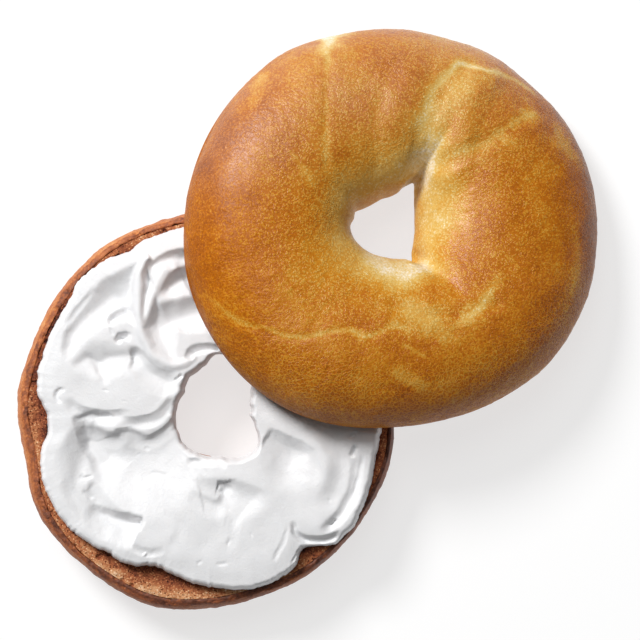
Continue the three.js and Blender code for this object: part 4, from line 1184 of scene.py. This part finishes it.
def soft_cheese(settings):
    """Whipped fresh cheese: white, faintly moist, and light goes half a millimetre into it, which
    softens the shadows of its finest marks."""
    colours = ((0.3, "#eaeaeb"), (0.7, "#efeff0"))
    material, tree, where = new_material("whipped_soft_cheese")
    streaks = noise(tree, where, 1.4, Detail=4.0, Roughness=0.6, Distortion=1.5)["Fac"]
    curd = noise(tree, where, 5, Detail=3.0)["Fac"]
    finish(tree, {
        "Base Color": colour_of(tree, curd, colours), "Roughness": settings.cheese_gloss,
        "IOR": 1.4, "Specular IOR Level": 0.5, "Subsurface Weight": 0.15,
        "Subsurface Radius": (1.0, 0.95, 0.9), "Subsurface Scale": 0.5 * MM,
        "Normal": bumps(tree, streaks, 0.10)})
    return material


def table_top(settings):
    """Plain white acrylic sheet, lit a little from below so that shadows on it stay pale."""
    material, tree, _ = new_material("white_acrylic_sheet")
    finish(tree, {
        "Base Color": (*settings.floor_colour, 1.0), "Roughness": 0.9, "Specular IOR Level": 0.0,
        "Emission Color": (1, 1, 1, 1), "Emission Strength": settings.floor_glow})
    return material


# ---------------------------------------------------------------------------------------------
# Settings
# ---------------------------------------------------------------------------------------------

class BagelFinish(bpy.types.PropertyGroup):
    """Finishes of the bagel's crust and cheese"""
    crust_gloss: bpy.props.FloatProperty(
        name="Crust roughness", description="Roughness of the golden crust's satin skin",
        default=0.33, min=0, max=1, subtype="FACTOR")
    blister: bpy.props.FloatProperty(
        name="Blister spacing", description="Distance between the crust's finest blisters",
        default=0.62 * MM, unit="LENGTH", precision=5)
    cheese_gloss: bpy.props.FloatProperty(
        name="Cheese roughness", description="Roughness of the moist cheese",
        default=0.42, min=0, max=1, subtype="FACTOR")


class BagelStage(bpy.types.PropertyGroup):
    """The floor, the lights and the camera"""
    floor_colour: bpy.props.FloatVectorProperty(
        name="Floor colour", description="Colour of the plain floor, linear",
        default=linear("#9c9c9c")[:3], subtype="COLOR", min=0, max=1)
    floor_glow: bpy.props.FloatProperty(
        name="Floor glow", description="Light that comes up through the floor",
        default=0.70, min=0)
    key_power: bpy.props.FloatProperty(
        name="Key light", description="Power of the large soft light", default=26, unit="POWER")
    overhead_power: bpy.props.FloatProperty(
        name="Overhead light", description="Power of the soft light that is nearly overhead",
        default=5, unit="POWER")
    fill: bpy.props.FloatProperty(
        name="Fill", description="Strength of the even light from all round", default=0.07, min=0)
    camera_height: bpy.props.FloatProperty(
        name="Camera height", description="Height of the camera over the table",
        default=868 * MM, unit="LENGTH")
    lens: bpy.props.FloatProperty(
        name="Lens", description="Focal length in millimetres", default=180, min=10)


# ---------------------------------------------------------------------------------------------
# Operators
# ---------------------------------------------------------------------------------------------

def soft_light(scene, name, place, power):
    """A large round lamp that faces the bagel from a direction and an angle from straight up."""
    direction, from_zenith = (math.radians(angle) for angle in place[:2])
    across = math.sin(from_zenith)
    way = Vector((across * math.cos(direction), across * math.sin(direction), math.cos(from_zenith)))
    light = bpy.data.lights.new(name, "AREA")
    light.shape, light.size, light.energy = "DISK", place[2], power
    lamp = bpy.data.objects.new(name, light)
    lamp.location = way * LIGHT_DISTANCE
    lamp.rotation_mode = "QUATERNION"
    lamp.rotation_quaternion = way.to_track_quat("Z", "Y")
    scene.collection.objects.link(lamp)


class BagelOperator:
    """What all of the bagel's operators share."""
    bl_options = {"REGISTER", "UNDO"}


class OBJECT_OT_bagel_base(BagelOperator, bpy.types.Operator):
    """Build the toasted base half: its crust and its cut face"""
    bl_idname = "bagel.base_half"
    bl_label = "Base half"

    def execute(self, context):
        settings = context.scene.bagel_finish
        shift = np.array([*BASE_CENTRE, 0])
        grid = base_skin()
        even = np.ones(grid.shape[:2])
        skin = {"browning_and_shade": base_browning_and_shade(grid), "blisters": 0.3 * even, "satin": even, "haze": 0 * even}
        crust = ring_object("base_crust", grid + shift, toasted_crust(settings), skin)
        hand_over(crust, "base_half")
        grid, toast_and_shade = base_crumb()
        crumb = ring_object("base_crumb", grid + shift, toasted_crumb(), {"toast_and_shade": toast_and_shade})
        hand_over(crumb, "base_half")
        return {"FINISHED"}


class OBJECT_OT_bagel_top(BagelOperator, bpy.types.Operator):
    """Build the golden top half that leans on the base half"""
    bl_idname = "bagel.top_half"
    bl_label = "Top half"

    def execute(self, context):
        settings = context.scene.bagel_finish
        grid, spokes = top_skin()
        skin = {"browning_and_shade": top_browning_and_shade(grid, spokes), "blisters": top_blisters(grid, spokes),
                "satin": top_satin(grid), "haze": top_haze(grid)}
        crust = ring_object("top_crust", lean_top(grid), golden_crust(settings), skin)
        hand_over(crust, "top_half")
        grid, toast_and_shade = top_crumb()
        crumb = ring_object("top_crumb", lean_top(grid), toasted_crumb(), {"toast_and_shade": toast_and_shade})
        hand_over(crumb, "top_half")
        return {"FINISHED"}


class OBJECT_OT_bagel_cheese(BagelOperator, bpy.types.Operator):
    """Spread soft white cheese on the base half"""
    bl_idname = "bagel.soft_cheese"
    bl_label = "Soft cheese"

    def execute(self, context):
        grid = cheese_surface() + np.array([*BASE_CENTRE, 0])
        cheese = ring_object("cheese_spread", grid, soft_cheese(context.scene.bagel_finish))
        hand_over(cheese, "cream_cheese")
        return {"FINISHED"}


class SCENE_OT_bagel_stage(BagelOperator, bpy.types.Operator):
    """Set the plain floor, the soft studio light and the camera"""
    bl_idname = "bagel.stage"
    bl_label = "Stage"

    def execute(self, context):
        settings = context.scene.bagel_stage
        scene = context.scene
        mesh = bpy.data.meshes.new("floor")
        corners = [(x * FLOOR_REACH, y * FLOOR_REACH, 0) for x, y in ((-1, -1), (1, -1), (1, 1), (-1, 1))]
        mesh.from_pydata(corners, [], [(0, 1, 2, 3)])
        mesh.materials.append(table_top(settings))
        floor = bpy.data.objects.new("floor", mesh)
        scene.collection.objects.link(floor)

        soft_light(scene, "key", KEY_LIGHT, settings.key_power)
        soft_light(scene, "overhead", OVERHEAD_LIGHT, settings.overhead_power)
        world = bpy.data.worlds.new("studio")
        world.use_nodes = True
        background = world.node_tree.nodes["Background"]
        background.inputs["Color"].default_value = (1, 1, 1, 1)
        background.inputs["Strength"].default_value = settings.fill
        scene.world = world

        camera = bpy.data.cameras.new("camera")
        camera.lens, camera.sensor_width = settings.lens, 36
        camera.clip_start, camera.clip_end = 0.05, 20
        viewer = bpy.data.objects.new("camera", camera)
        viewer.location = (CAMERA_OVER[0] * MM, CAMERA_OVER[1] * MM, settings.camera_height)
        scene.collection.objects.link(viewer)
        scene.camera = viewer
        scene.view_settings.view_transform = "Standard"
        return {"FINISHED"}


class VIEW3D_PT_bagel(bpy.types.Panel):
    """The bagel's pieces and settings in the sidebar"""
    bl_label = "Bagel"
    bl_idname = "VIEW3D_PT_bagel"
    bl_space_type = "VIEW_3D"
    bl_region_type = "UI"
    bl_category = "Bagel"

    def draw(self, context):
        column = self.layout.column(align=True)
        for operator in OPERATORS:
            column.operator(operator.bl_idname)
        for group in (context.scene.bagel_finish, context.scene.bagel_stage):
            box = self.layout.box()
            for name in group.__annotations__:
                box.prop(group, name)


OPERATORS = (OBJECT_OT_bagel_base, OBJECT_OT_bagel_cheese, OBJECT_OT_bagel_top, SCENE_OT_bagel_stage)
CLASSES = (BagelFinish, BagelStage, *OPERATORS, VIEW3D_PT_bagel)


def register():
    """Adds the classes and the two groups of settings."""
    for item in CLASSES:
        bpy.utils.register_class(item)
    bpy.types.Scene.bagel_finish = bpy.props.PointerProperty(type=BagelFinish)
    bpy.types.Scene.bagel_stage = bpy.props.PointerProperty(type=BagelStage)


def unregister():
    """Takes them away again."""
    del bpy.types.Scene.bagel_stage
    del bpy.types.Scene.bagel_finish
    for item in reversed(CLASSES):
        bpy.utils.unregister_class(item)


def main():
    """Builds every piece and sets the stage."""
    register()
    bpy.ops.bagel.base_half()
    bpy.ops.bagel.soft_cheese()
    bpy.ops.bagel.top_half()
    bpy.ops.bagel.stage()


if __name__ == "__main__":
    main()
